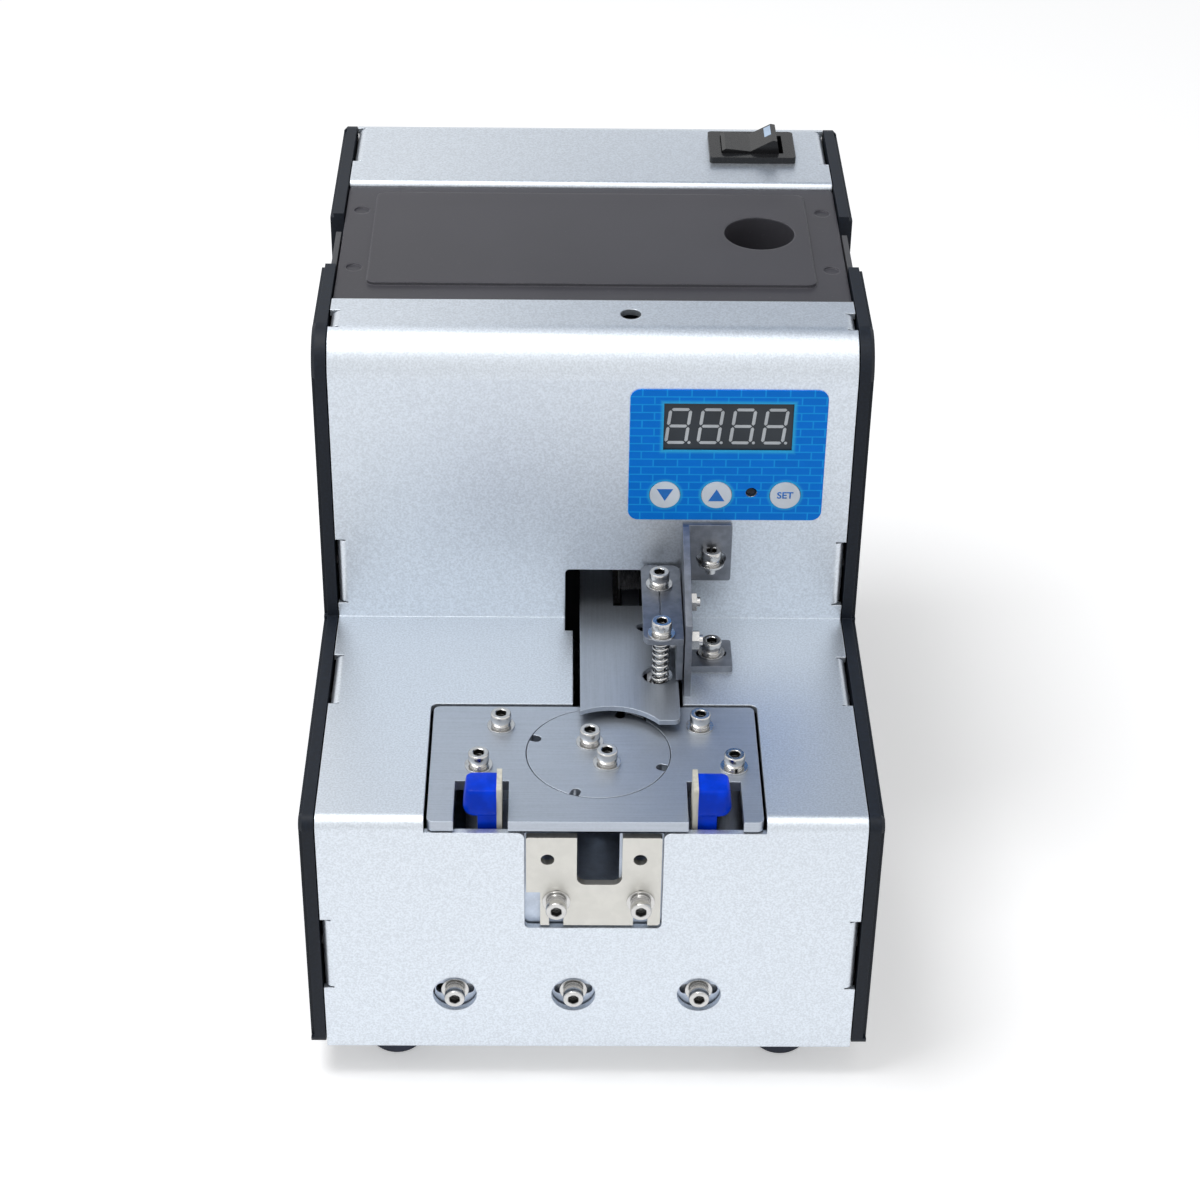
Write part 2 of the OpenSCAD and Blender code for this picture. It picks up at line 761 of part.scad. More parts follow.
module cam_rim() {
  difference() {
    polygon(concat([for (i = [1:cam_steps - 1]) rim_point(180 * i / cam_steps)],
      [for (i = [1 - cam_steps:-1]) rim_point(180 * i / cam_steps)]));
    translate([0, -pitch_r]) circle(roller_r + cam_slack);
  }
}

module cam() {
  color("#e8e6df")
  translate([rail_x, 0, cam_z]) difference() {
    union() {
      along_y(cam_y, cam_y + cam_t) rotate(180) cam_rim();
      translate([0, cam_y + 1, 0]) rotate([-90, 0, 0]) cylinder(h = cam_t - 0.2, r = cam_hub_r);
    }
    translate([0, cam_y - 1, 0]) rotate([-90, 0, 0]) cylinder(h = cam_t + 3, r = cam_shaft_r + 0.02);
    for (i = [-1:1]) rotate([0, 28 * i, 0]) translate([0, cam_y - 1, -pitch_r - 7]) rotate([-90, 0, 0])
      cylinder(h = cam_t + 2, r = 3.2);
  }
}

module cam_shaft() {
  color("#c9ccd0")
  translate([rail_x, cam_y - 0.6, cam_z]) rotate([-90, 0, 0])
    cylinder(h = mount_y + mount_t + 8 - cam_y, r = cam_shaft_r);
}

module motor_bracket() {
  half = 30;
  color("#9aa0a8")
  difference() {
    union() {
      along_y(mount_y, mount_y + mount_t)
        round_box([rail_x - half, floor_z], [rail_x + half, mount_top], tl = 6, tr = 6);
      translate([rail_x - half, mount_y, floor_z]) cube([2 * half, 12, mount_t]);
    }
    translate([rail_x, mount_y - 1, cam_z]) rotate([-90, 0, 0]) cylinder(h = mount_t + 2, r = 5);
  }
}

// Worm gear motor: gearbox on the bracket, motor can lying along X
module gear_motor() {
  y0 = mount_y + mount_t;
  depth = 17;
  can_r = 8.2;
  color("#a7abb0")
  difference() {
    union() {
      along_y(y0, y0 + depth) round_box([rail_x - 16, cam_z - 14], [rail_x + 18, cam_z + 14], 3, 3, 3, 3);
      translate([rail_x + 18, y0 + can_r + 0.2, cam_z]) rotate([0, 90, 0]) {
        cylinder(h = 24, r = can_r);
        cylinder(h = 27, r = 3);
      }
    }
    translate([rail_x, y0 - 1, cam_z]) rotate([-90, 0, 0]) cylinder(h = 11, r = cam_shaft_r + run);
  }
}

// ---- Brush ----

module brush_wheel() {
  tufts = 12;
  hub_r = 3.4;
  color("#26262a")
  translate([brush_x - brush_w / 2, brush_y, brush_z]) rotate([0, 90, 0]) {
    cylinder(h = brush_w, r = hub_r);
    cylinder(h = brush_w + brush_shaft, r = brush_shaft_r);
    for (i = [0:tufts - 1]) rotate([0, 0, 360 * i / tufts])
      translate([hub_r - 0.4, -0.8, 0.3]) cube([brush_r - hub_r + 0.4, 1.6, brush_w - 0.6]);
  }
}

module brush_motor() {
  x0 = brush_motor_x;
  color("#a7abb0")
  difference() {
    union() {
      along_x(x0, x0 + 9) translate([brush_y - 6, brush_z - 5]) square([12, 10]);
      translate([x0 + 9, brush_y, brush_z]) rotate([0, 90, 0]) {
        intersection() {
          cylinder(h = 15, r = 6);
          translate([-5, -7, 0]) cube([10, 14, 15]);
        }
        cylinder(h = 17, r = 1.6);
      }
    }
    translate([x0 - 1, brush_y, brush_z]) rotate([0, 90, 0]) cylinder(h = 8, r = brush_shaft_r + run);
  }
}

// Angle that carries the brush motor on the front wall of the bin
module brush_bracket() {
  x0 = brush_motor_x - bracket_t;
  top = brush_z + 9;
  color("#9aa0a8")
  difference() {
    union() {
      along_x(x0, x0 + bracket_t)
        round_box([brush_y - 7, brush_z - 7], [bin_y0, top], bl = 2, tl = 2);
      along_y(bin_y0 - bracket_t, bin_y0) translate([x0, brush_z - 7]) square([14, top - brush_z + 7]);
    }
    translate([x0 - 1, brush_y, brush_z]) rotate([0, 90, 0]) cylinder(h = bracket_t + 2, r = 2.4);
  }
}

// ---- Rail and its vibrating drive ----

module rail(x0) {
  difference() {
    translate([x0, rail_y0, rail_z]) cube([rail_w, rail_y1 - rail_y0, rail_h]);
    translate([disc_x, disc_y, rail_z - 1]) cylinder(h = rail_h + 2, r = disc_r + rail_end_gap);
  }
}

module rail_left() { color("#8a8f96") rail(rail_x - rail_gap / 2 - rail_w); }
module rail_right() { color("#8a8f96") rail(rail_x + rail_gap / 2); }

module rail_block() {
  armature = 3;
  color("#5d6167")
  translate([block_x0, block_y0, rail_z - rail_block_h])
    difference() {
      union() {
        cube([block_x1 - block_x0, block_y1 - block_y0, rail_block_h]);
        translate([0, 12, -armature]) cube([block_x1 - block_x0, 18, armature]);
      }
      translate([(block_x1 - block_x0 - rail_gap) / 2, -1, rail_block_h - 2])
        cube([rail_gap, block_y1 - block_y0 + 2, 3]);
    }
}

module leaf_springs() {
  color("#c2c6cb")
  for (y = [block_y0 - leaf_t, block_y1])
    translate([block_x0, y, floor_z + 2]) cube([block_x1 - block_x0, leaf_t, rail_z - floor_z - 3]);
}

module spring_base() {
  color("#4d5157")
  translate([block_x0, block_y0 + fit, floor_z])
    cube([block_x1 - block_x0, block_y1 - block_y0 - 2 * fit, spring_base_h]);
}

module vibrator_coil() {
  core_top = rail_z - rail_block_h - 3 - 0.8;
  y = block_y0 + 21;
  color("#8b5a34")
  translate([rail_x, y, floor_z + spring_base_h]) {
    cylinder(h = core_top - floor_z - spring_base_h, r = 3);
    cylinder(h = 2, r = 7.2);
    translate([0, 0, 2]) cylinder(h = core_top - floor_z - spring_base_h - 5, r = 6.6);
    translate([0, 0, core_top - floor_z - spring_base_h - 3]) cylinder(h = 2, r = 7.2);
  }
}

pedestal_x0 = support_x0 + 1.4;
module rail_pedestal() {
  support_z = rail_cover_z - 8.8;
  color("#9aa0a8")
  along_y(block_y0, block_y1) {
    translate([pedestal_x0, floor_z]) square([4, support_z - floor_z]);
    translate([pedestal_x0, floor_z]) square([14, 3]);
  }
}

// Bar that carries the rail cover plate and holds the foot of the presser spring
spring_foot_z = rail_cover_z - 2;
module cover_support() {
  y0 = PRESSER_Y[1] - 3.6;
  color("#7f858c")
  difference() {
    translate([support_x0, y0, rail_cover_z - 8.8])
      cube([support_x1 - support_x0, bin_y0 - y0, 8.8]);
    translate([presser_screw_x, PRESSER_Y[1], spring_foot_z]) cylinder(h = 4, r = 2.4);
    translate([presser_screw_x, PRESSER_Y[1], rail_cover_z - 10])
      cylinder(h = 12, d = screw_d + 0.1);
  }
}

module rail_cover() {
  arc_r = 13.4;
  flange_h = 14;
  color("#8d929a")
  difference() {
    union() {
      along_z(rail_cover_z, rail_cover_z + rail_cover_t) difference() {
        round_box([rail_cover_x0, rail_cover_y0], [rail_cover_x1, bin_y0], br = 1.5);
        translate([rail_x - 2.1, disc_y - 0.9]) circle(arc_r);
        translate([rail_cover_x0 - 1, rail_cover_y0 - 1]) square([3, 4.4]);
        translate([presser_screw_x - 0.6, PRESSER_Y[1] + 1.1]) circle(3.3);
        translate([rail_x + 5.6, face_y - 8.1]) circle(1.5);
      }
      along_y(bin_y0 - rail_cover_t, bin_y0)
        translate([rail_cover_x0, rail_cover_z]) square([rail_cover_x1 - rail_cover_x0, flange_h]);
    }
    translate([brush_cut_x0, face_y + 0.4, rail_cover_z - 1])
      cube([brush_cut_x1 - brush_cut_x0, bin_y0 - face_y, flange_h + 3]);
  }
}

// ---- Bridge and presser brackets over the rail ----

// Sheet gusset with one tab on the upper face and one on the step
module bridge_bracket() {
  x0 = bridge_x;
  x1 = bridge_x + bracket_t;
  tab_x1 = bridge_x + 11.3;
  color("#b3b2aa")
  difference() {
    union() {
      along_x(x0, x1) polygon([[face_y, step_h], [face_y, bridge_top],
        [face_y - 2, bridge_top], [presser_y0 + 0.6, step_h + 0.687 * bridge_h],
        [presser_y0 - 0.6, step_h]]);
      along_y(face_y - bracket_t, face_y)
        round_box([x0, bridge_top - bridge_tab], [tab_x1, bridge_top], br = 0.6, tr = 0.6);
      along_z(step_h, step_h + bracket_t)
        round_box([x0, bridge_lower_y - 5.2], [tab_x1, bridge_lower_y + 5.2], br = 0.6, tr = 0.6);
    }
    translate([0, 0, bridge_upper_z]) along_y(face_y - 4, face_y + 1)
      translate([bridge_slot_x, 0]) slot2d(6.8, 3);
    translate([bridge_slot_x, bridge_lower_y, step_h - 1]) linear_extrude(4) slot2d(6.8, 3);
    for (b = BOLTS) translate([x0 - 1, b[0], b[1]]) rotate([0, 90, 0]) cylinder(h = 4, d = screw_d + 0.2);
  }
}

module bridge_screws() {
  color("#c8c7c3") {
    translate([bridge_slot_x, face_y - bracket_t, bridge_upper_z]) rotate([90, 0, 0]) cap_screw(bracket_t);
    translate([bridge_slot_x, bridge_lower_y, step_h + bracket_t]) cap_screw(bracket_t);
  }
}

// Flange over the rail cover with a web that hangs beside the bridge bracket
module presser_bracket() {
  web_z = rail_cover_z + rail_cover_t + fit;
  top = presser_z + bracket_t;
  color("#b8bcc1")
  difference() {
    union() {
      along_z(presser_z, top)
        round_box([presser_x0, presser_y0], [presser_x1, presser_y1], 2, 0.4, 2, 2);
      along_x(presser_x1 - bracket_t, presser_x1) {
        round_box([presser_y0 + 1, bolt_z - 3.2], [presser_y1 - 2, presser_z + 0.5], br = 2);
        translate([presser_y0 + 1, web_z]) square([5, presser_z - web_z]);
      }
    }
    for (y = PRESSER_Y) translate([presser_screw_x, y, presser_z - 1]) cylinder(h = 4, d = screw_d + 0.3);
    translate([presser_screw_x - 0.15, PRESSER_Y[1], top - 0.5])
      cube([0.3, presser_y1 - PRESSER_Y[1] + 1, 1]);
    translate([presser_x1 - bracket_t - 1, presser_y0 + 2.2, web_z + 4.6]) cube([4, 1.6, 4]);
    for (b = BOLTS) translate([presser_x1 - 3, b[0], b[1]])
      rotate([0, 90, 0]) cylinder(h = 4, d = screw_d + 0.2);
  }
}

module presser_screws() {
  color("#c8c7c3") {
    translate([presser_screw_x, PRESSER_Y[0], presser_z + bracket_t]) cap_screw(5);
    translate([presser_screw_x, PRESSER_Y[1], presser_z + bracket_t])
      cap_screw(presser_z + bracket_t - rail_cover_z + 7);
  }
}

// Coil spring between the flange and the support bar, swept as one tube
spring_r = 1.75;
wire_r = 0.25;
spring_turns = 9;
spring_sides = 6;
ring_steps = 14;
function spring_point(i, j) =
  let (a = 360 * i / ring_steps, n = spring_turns * ring_steps, b = 360 * j / spring_sides,
       z0 = spring_foot_z + wire_r + 0.02, z1 = presser_z - wire_r - 0.02,
       r = spring_r + wire_r * cos(b))
  [r * cos(a), r * sin(a), z0 + (z1 - z0) * i / n + wire_r * sin(b)];

module presser_spring() {
  n = spring_turns * ring_steps;
  s = spring_sides;
  color("#c9ccd0")
  translate([presser_screw_x, PRESSER_Y[1], 0]) polyhedron(
    points = [for (i = [0:n], j = [0:s - 1]) spring_point(i, j)],
    faces = concat([[for (j = [0:s - 1]) j]],
      [for (i = [0:n - 1], j = [0:s - 1])
        [i * s + j, (i + 1) * s + j, (i + 1) * s + (j + 1) % s, i * s + (j + 1) % s]],
      [[for (j = [s - 1:-1:0]) n * s + j]]));
}

// Screws and nuts that clamp the presser bracket to the bridge bracket
module presser_bolts() {
  nut = 2;
  color("#c8c7c3")
  for (b = BOLTS) translate([presser_x1 - bracket_t, b[0], b[1]]) rotate([0, 90, 0]) {
    translate([0, 0, -1.3]) cylinder(h = 1.3, d = 4.4);
    cylinder(h = 2 * bracket_t + fit + nut + 0.8, d = screw_d);
    translate([0, 0, 2 * bracket_t + fit]) cylinder(h = nut, d = 4.6, $fn = 6);
  }
}

// ---- Turntable ----

module turntable_plate() {
  x0 = recess_x0 + table_gap;
  x1 = recess_x1 - table_gap;
  y0 = front_y + 0.3;
  y1 = recess_y1 - table_gap;
  color("#9298a0")
  along_z(table_z, work_z) difference() {
    round_box([x0, y0], [x1, y1], table_r, table_r, table_r, table_r);
    translate([disc_x, disc_y]) circle(disc_r + disc_gap);
    for (s = SLOTS) translate([s[0], y0 - 1]) square([s[1] - s[0], slot_y - y0 + 1]);
    translate([rail_x - rail_gap / 2 - rail_w - 0.6, disc_y + 9])
      square([2 * rail_w + rail_gap + 1.2, 20]);
    for (h = TABLE_HOLES) translate([h[0], front_y + h[1]]) circle(d = screw_d + 0.3);
  }
}

module table_screws() {
  color("#c8c7c3")
  for (h = TABLE_HOLES) translate([h[0], front_y + h[1], work_z]) cap_screw(table_t + 5);
}

module table_posts() {
  color("#b9bdc2")
  for (h = TABLE_HOLES) translate([h[0], front_y + h[1], shelf_z]) difference() {
    cylinder(h = table_z - shelf_z, r = post_r);
    translate([0, 0, table_z - shelf_z - 7]) cylinder(h = 8, d = screw_d + 0.1);
  }
}

module turntable_disc() {
  slot = 2.2;
  color("#a3a9b1")
  translate([disc_x, disc_y, work_z - disc_t]) linear_extrude(disc_t) difference() {
    circle(disc_r, $fn = 96);
    for (i = [0:notch_count - 1]) rotate(notch_angle + 360 * i / notch_count) {
      translate([disc_r - 1.2, 0]) circle(slot / 2);
      translate([disc_r - 1.2, -slot / 2]) square([3, slot]);
    }
    for (s = [0, 180]) rotate(disc_screw_angle + s) translate([disc_screw_r, 0]) circle(d = screw_d + 0.3);
  }
}

module disc_screws() {
  color("#c8c7c3")
  for (s = [0, 180]) translate([disc_x, disc_y, work_z]) rotate(disc_screw_angle + s)
    translate([disc_screw_r, 0, 0]) cap_screw(disc_t + 5);
}

hub_top = work_z - disc_t;
disc_shaft_r = 2;
module disc_hub() {
  color("#8f949a")
  translate([disc_x, disc_y, 0]) difference() {
    union() {
      translate([0, 0, hub_top - 7]) cylinder(h = 7, r = 7);
      translate([0, 0, shelf_z + 2]) cylinder(h = hub_top - 6 - shelf_z - 2, r = 4.5);
      translate([0, 0, shelf_z - 9]) cylinder(h = 14, r = disc_shaft_r);
    }
    for (s = [0, 180]) rotate(disc_screw_angle + s) translate([disc_screw_r, 0, hub_top - 6])
      cylinder(h = 7, d = screw_d + 0.1);
  }
}

module disc_motor() {
  z1 = shelf_z - panel_t;
  color("#a7abb0")
  translate([disc_x, disc_y, 0]) difference() {
    union() {
      translate([0, 0, z1 - 18]) cylinder(h = 18, r = 12.4);
      translate([0, 0, floor_z + 8.6]) cylinder(h = z1 - 17 - floor_z - 8.6, r = 10);
      translate([0, 0, z1]) cylinder(h = panel_t, r = 3.4);
    }
    translate([0, 0, z1 - 11]) cylinder(h = 14, r = disc_shaft_r + run);
  }
}

// Bent sheet behind the front face: slotted front panel and shelf for the turntable
module table_bracket() {
  color("#8fa0bb")
  difference() {
    union() {
      along_y(panel_y, panel_y + panel_t) difference() {
        translate([panel_x0, floor_z + 2]) square([panel_x1 - panel_x0, guide_top - floor_z - 2]);
        translate([guide_x - guide_cut_w / 2 - 0.6, shelf_z]) square([guide_cut_w + 1.2, 30]);
        for (s = SLOTS) translate([s[0] - 0.5, shelf_z]) square([s[1] - s[0] + 1, 30]);
        for (x = ADJUST_X) translate([x, adjust_z]) slot2d(8.4, 2.9);
        for (s = [-1, 1]) {
          translate([guide_x + 1.1 + s * guide_slot_x, guide_screw_z]) circle(d = screw_d + 0.1);
          translate([guide_x + s * guide_pitch / 2, guide_hole_z]) circle(d = guide_hole_d + 0.8);
        }
      }
      along_z(shelf_z - panel_t, shelf_z)
        translate([panel_x0, panel_y]) square([panel_x1 - panel_x0, shelf_y1 - panel_y]);
    }
    translate([disc_x, disc_y, shelf_z - 5]) cylinder(h = 10, r = 3.5);
  }
}

// Angle on the base plate that the slotted panel is screwed to
module front_angle() {
  y0 = panel_y + panel_t;
  color("#9aa0a8")
  difference() {
    along_x(panel_x0 + 2, panel_x1 - 4) {
      translate([y0, floor_z]) square([2.4, adjust_z + 7 - floor_z]);
      translate([y0, floor_z]) square([16, 2]);
    }
    for (x = ADJUST_X) translate([x, y0 - 1, adjust_z])
      rotate([-90, 0, 0]) cylinder(h = 5, d = screw_d + 0.1);
  }
}

module adjust_screws() {
  color("#c8c7c3")
  for (x = ADJUST_X) translate([x, panel_y, adjust_z]) rotate([90, 0, 0]) cap_screw(panel_t + 4);
}

module guide_bracket() {
  x0 = guide_x - guide_w / 2;
  x1 = guide_x + guide_w / 2;
  color("#cfccc0")
  along_y(panel_y - guide_t, panel_y) difference() {
    round_box([x0, guide_z0], [x1, guide_top], br = 0.8, tl = 0.4, tr = 0.4);
    round_box([guide_x + 1.2 - guide_cut_w / 2, guide_cut_z],
      [guide_x + 1.2 + guide_cut_w / 2, guide_top + 1], bl = 2, br = 2);
    translate([x0 - 1, guide_z0 - 1]) square([4, 10.2]);
    for (s = [-1, 1]) {
      translate([guide_x + s * guide_pitch / 2, guide_hole_z]) circle(d = guide_hole_d);
      translate([guide_x + 1.1 + s * guide_slot_x, guide_slot_z]) rotate(90) slot2d(guide_slot_h, 3.1);
    }
  }
}

module guide_screws() {
  color("#c8c7c3")
  for (s = [-1, 1])
    translate([guide_x + 1.1 + s * guide_slot_x, panel_y - guide_t, guide_screw_z]) rotate([90, 0, 0])
      cap_screw(guide_t + panel_t + 2);
}

// ---- Sensors ----

sensor_y0 = front_y + 2;
sensor_y1 = sensor_y0 + 8;
sensor_w = 7.1;
sensor_top = step_h + 6;
strip_t = 1.1;
strip_left = -20;
strip_right = 22.2;

// Sensor head in its sleeve; its flat side is at x = 0 and it grows to -x
module sensor_head() {
  along_z(shelf_z + 6, sensor_top) translate([-4, sensor_y0 + 0.6]) square([4, sensor_y1 - sensor_y0 - 1.2]);
  along_z(step_h - 0.6, sensor_top)
    round_box([-sensor_w, sensor_y0], [0, sensor_y1], bl = 2, tl = 2);
}

module sensor_heads() {
  color("#1438c8") {
    translate([strip_left, 0, 0]) sensor_head();
    translate([strip_right, 0, 0]) mirror([1, 0, 0]) sensor_head();
  }
}

// Strips that stand on the shelf beside the sensor heads
module sensor_strip(x0, foot) {
  along_x(x0, x0 + strip_t)
    round_box([sensor_y0 + 0.4, shelf_z], [sensor_y1, sensor_top + 0.7], tl = 0.8, tr = 0.8);
  translate([foot < 0 ? x0 - 6 : x0, sensor_y0 + 0.4, shelf_z])
    cube([6 + strip_t, sensor_y1 - sensor_y0 - 0.4, strip_t]);
}

module sensor_brackets() {
  color("#cfc9b4") {
    sensor_strip(strip_left, -1);
    sensor_strip(strip_right - strip_t, 1);
  }
}

// ---- Controls ----

module control_label() {
  color("#1173d4")
  along_y(face_y - label_t, face_y) difference() {
    round_box([label_x0, label_z0], [label_x0 + label_w, label_z0 + label_h], 2.4, 2.4, 2.4, 2.4);
    translate([window_x0, window_z0]) square([window_w, window_h]);
    for (x = BUTTON_X) translate([x, button_z]) circle(d = button_d + 2 * button_gap);
    translate([led_x, button_z + 0.6]) circle(d = 2.6);
  }
}

// Four-digit display standing on the control board
module display_module() {
  color("#4a4d54")
  along_y(face_y + 0.2, board_y)
    translate([window_x0 - 0.7, window_z0 - 0.9]) square([window_w + 1.4, window_h + 1.8]);
}

module control_board() {
  x0 = label_x0 - 0.4;
  x1 = label_x0 + label_w + 0.4;
  z0 = label_z0 - 1;
  z1 = label_z0 + label_h;
  color("#1f6f4a") {
    along_y(board_y, board_y + 1.6) translate([x0, z0]) square([x1 - x0, z1 - z0]);
    for (x = BUTTON_X) translate([x - 3, board_y - 2.4, button_z - 3]) cube([6, 2.4, 6]);
    translate([led_x, board_y, button_z + 0.6]) rotate([90, 0, 0])
      cylinder(h = board_y - face_y - sheet - 0.3, d = 3);
    for (x = [x0 + 3, x1 - 3], z = [z0 + 3, z1 - 3])
      translate([x, board_y, z]) rotate([90, 0, 0]) cylinder(h = board_y - face_y - sheet, d = 3.6);
  }
}

// Round cap with a retaining rim behind the cover
module button(x) {
  y0 = face_y - label_t - 0.2;
  rim_y = face_y + sheet + 0.1;
  color("#dfe6ea")
  translate([x, 0, button_z]) rotate([-90, 0, 0]) {
    translate([0, 0, y0]) cylinder(h = rim_y - y0, d = button_d);
    translate([0, 0, rim_y]) cylinder(h = 0.8, d = button_d + 1.2);
    translate([0, 0, rim_y + 0.8]) cylinder(h = board_y - 2.4 - button_travel - 0.15 - rim_y - 0.8, d = 3);
  }
}

module button_down() { button(BUTTON_X[0]); }
module button_up() { button(BUTTON_X[1]); }
module button_set() { button(BUTTON_X[2]); }

// Snap-in switch body with its bezel; the rocker's pocket is round about its axis
module power_switch() {
  depth = 17;
  pocket_r = 6.2;
  color("#17181a")
  translate([switch_x, switch_y, 0]) difference() {
    union() {
      along_z(body_h, body_h + bezel_h) round_box([-switch_w / 2, -switch_d / 2],
        [switch_w / 2, switch_d / 2], 1, 1, 1, 1);
      translate([-switch_w / 2 + 1, -switch_d / 2 + 1, body_h - depth])
        cube([switch_w - 2, switch_d - 2, depth]);
      for (x = [-5, 1, 6]) translate([x, -2.4, body_h - depth - 6]) cube([0.8, 4.8, 7]);
    }
    translate([-rocker_w / 2, -rocker_d / 2, body_h - 3.4]) cube([rocker_w, rocker_d, 8]);
    translate([0, rocker_d / 2, rocker_z]) rotate([90, 0, 0]) cylinder(h = rocker_d, r = pocket_r);
  }
}

// Rocker with two sloping faces, at rest with its OFF side pressed down
module power_rocker() {
  w = rocker_w / 2 - 0.75;
  d = rocker_d / 2 - 0.2;
  color("#1d1e21")
  translate([switch_x, switch_y, rocker_z]) rotate([0, -rocker_tilt, 0]) {
    along_y(-d, d)
      polygon([[-w, 0.6], [-w, 4], [-w + 1, 4.4], [0, 2.6],
        [w - 1, 4.4], [w, 4], [w, 0.6], [4.6, 0], [-4.6, 0]]);
    along_y(-d, d) intersection() {
      circle(5);
      translate([-5, -5]) square([10, 5.6]);
    }
  }
}

// Main board on four posts of the base plate
module main_board() {
  x0 = 4.3 - inner_x;
  y0 = block_y0 - 20;
  z0 = floor_z + 5;
  w = 38;
  l = 66;
  color("#1f6f4a") {
    translate([x0, y0, z0]) cube([w, l, 1.6]);
    for (x = [x0 + 4, x0 + w - 4], y = [y0 + 4, y0 + l - 4])
      translate([x, y, floor_z]) cylinder(h = z0 - floor_z, r = 3);
    translate([x0 + 8, y0 + 14, z0 + 1.6]) cube([12, 12, 1.6]);
    for (y = [0, 11]) translate([x0 + 28, y0 + 16 + y, z0 + 1.6]) cylinder(h = 11, r = 4);
    for (y = [34, 46]) translate([x0 + 5, y0 + y, z0 + 1.6]) cube([7, 9, 6]);
    translate([x0 + 20, y0 + 42, z0 + 1.6]) cube([10, 14, 8]);
  }
}

// Barrel socket behind the back, on its own foot
module power_socket() {
  color("#1b1c1f")
  translate([jack_x, 0, jack_z]) difference() {
    union() {
      along_y(rear_y - sheet - fit - 12, rear_y - sheet - fit) translate([-5, -6]) square([10, 12]);
      translate([0, rear_y - 0.2, 0]) rotate([90, 0, 0]) cylinder(h = 3, d = 8);
      along_y(rear_y - sheet - fit - 12, rear_y - sheet - fit - 10)
        translate([-5, floor_z - jack_z]) square([10, jack_z - floor_z]);
    }
    translate([0, rear_y, 0]) rotate([90, 0, 0]) difference() {
      cylinder(h = 10, d = 5.6);
      translate([0, 0, 1]) cylinder(h = 12, d = 2.1);
    }
  }
}

side_plate_left();
side_plate_right();
front_cover();
rear_cover();
base_plate();
rubber_feet();
foot_screws();
side_screws();
hopper_lid();
hopper_bin();
lifter();
lifter_roller();
guide_rods();
rod_clamp();
cam();
cam_shaft();
motor_bracket();
gear_motor();
brush_wheel();
brush_motor();
brush_bracket();
rail_left();
rail_right();
rail_block();
leaf_springs();
spring_base();
vibrator_coil();
rail_pedestal();
cover_support();
rail_cover();
bridge_bracket();
bridge_screws();
presser_bracket();
presser_screws();
presser_spring();
presser_bolts();
turntable_plate();
table_screws();
table_posts();
turntable_disc();
disc_screws();
disc_hub();
disc_motor();
table_bracket();
front_angle();
adjust_screws();
guide_bracket();
guide_screws();
sensor_heads();
sensor_brackets();
control_label();
display_module();
control_board();
button_down();
button_up();
button_set();
power_switch();
power_rocker();
power_socket();
main_board();
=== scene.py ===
"""Finishes and small pieces of an automatic screw feeder, laid out as an add-on.

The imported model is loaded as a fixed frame. Each operator dresses one group of its
pieces or makes new ones, and main() calls them in order.
"""

import json
import math
import random

import bmesh
import bpy
from bpy.props import FloatProperty, FloatVectorProperty, IntProperty, PointerProperty
from mathutils import Matrix, Vector


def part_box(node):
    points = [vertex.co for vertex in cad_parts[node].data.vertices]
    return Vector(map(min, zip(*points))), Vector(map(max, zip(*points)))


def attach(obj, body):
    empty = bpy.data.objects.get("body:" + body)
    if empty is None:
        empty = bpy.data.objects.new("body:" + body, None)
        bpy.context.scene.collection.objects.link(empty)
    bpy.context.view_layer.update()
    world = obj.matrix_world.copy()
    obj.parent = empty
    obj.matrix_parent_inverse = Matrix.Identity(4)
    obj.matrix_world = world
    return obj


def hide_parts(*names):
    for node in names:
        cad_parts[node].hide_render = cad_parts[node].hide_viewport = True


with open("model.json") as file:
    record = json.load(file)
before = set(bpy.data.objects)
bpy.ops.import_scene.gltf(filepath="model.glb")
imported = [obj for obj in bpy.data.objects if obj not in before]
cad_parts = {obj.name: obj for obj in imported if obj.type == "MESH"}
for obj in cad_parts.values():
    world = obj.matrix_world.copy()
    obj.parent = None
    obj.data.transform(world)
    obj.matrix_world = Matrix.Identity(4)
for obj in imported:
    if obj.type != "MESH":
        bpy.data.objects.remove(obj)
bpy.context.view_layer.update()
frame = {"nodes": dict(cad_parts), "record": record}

bl_info = {
    "name": "Screw feeder looks",
    "version": (1, 0, 0),
    "blender": (4, 5, 0),
    "location": "3D View > Sidebar > Feeder",
    "description": "Finishes, screws, panel and stage for a turntable screw feeder",
    "category": "Object",
}

NODES = frame["nodes"]
RECORD = frame["record"]
SLOT_OF = {part["node"]: part["material_slot"] for part in RECORD["subparts"]}
BODY_OF = {
    node: body for body, nodes in RECORD["behaviour"]["bodies"].items() for node in nodes
}
COLOUR_OF = {entry["slot"]: entry["base_color"][:3] for entry in RECORD["materials"]}
MM = 0.001


# ---- Sizes and colours ----


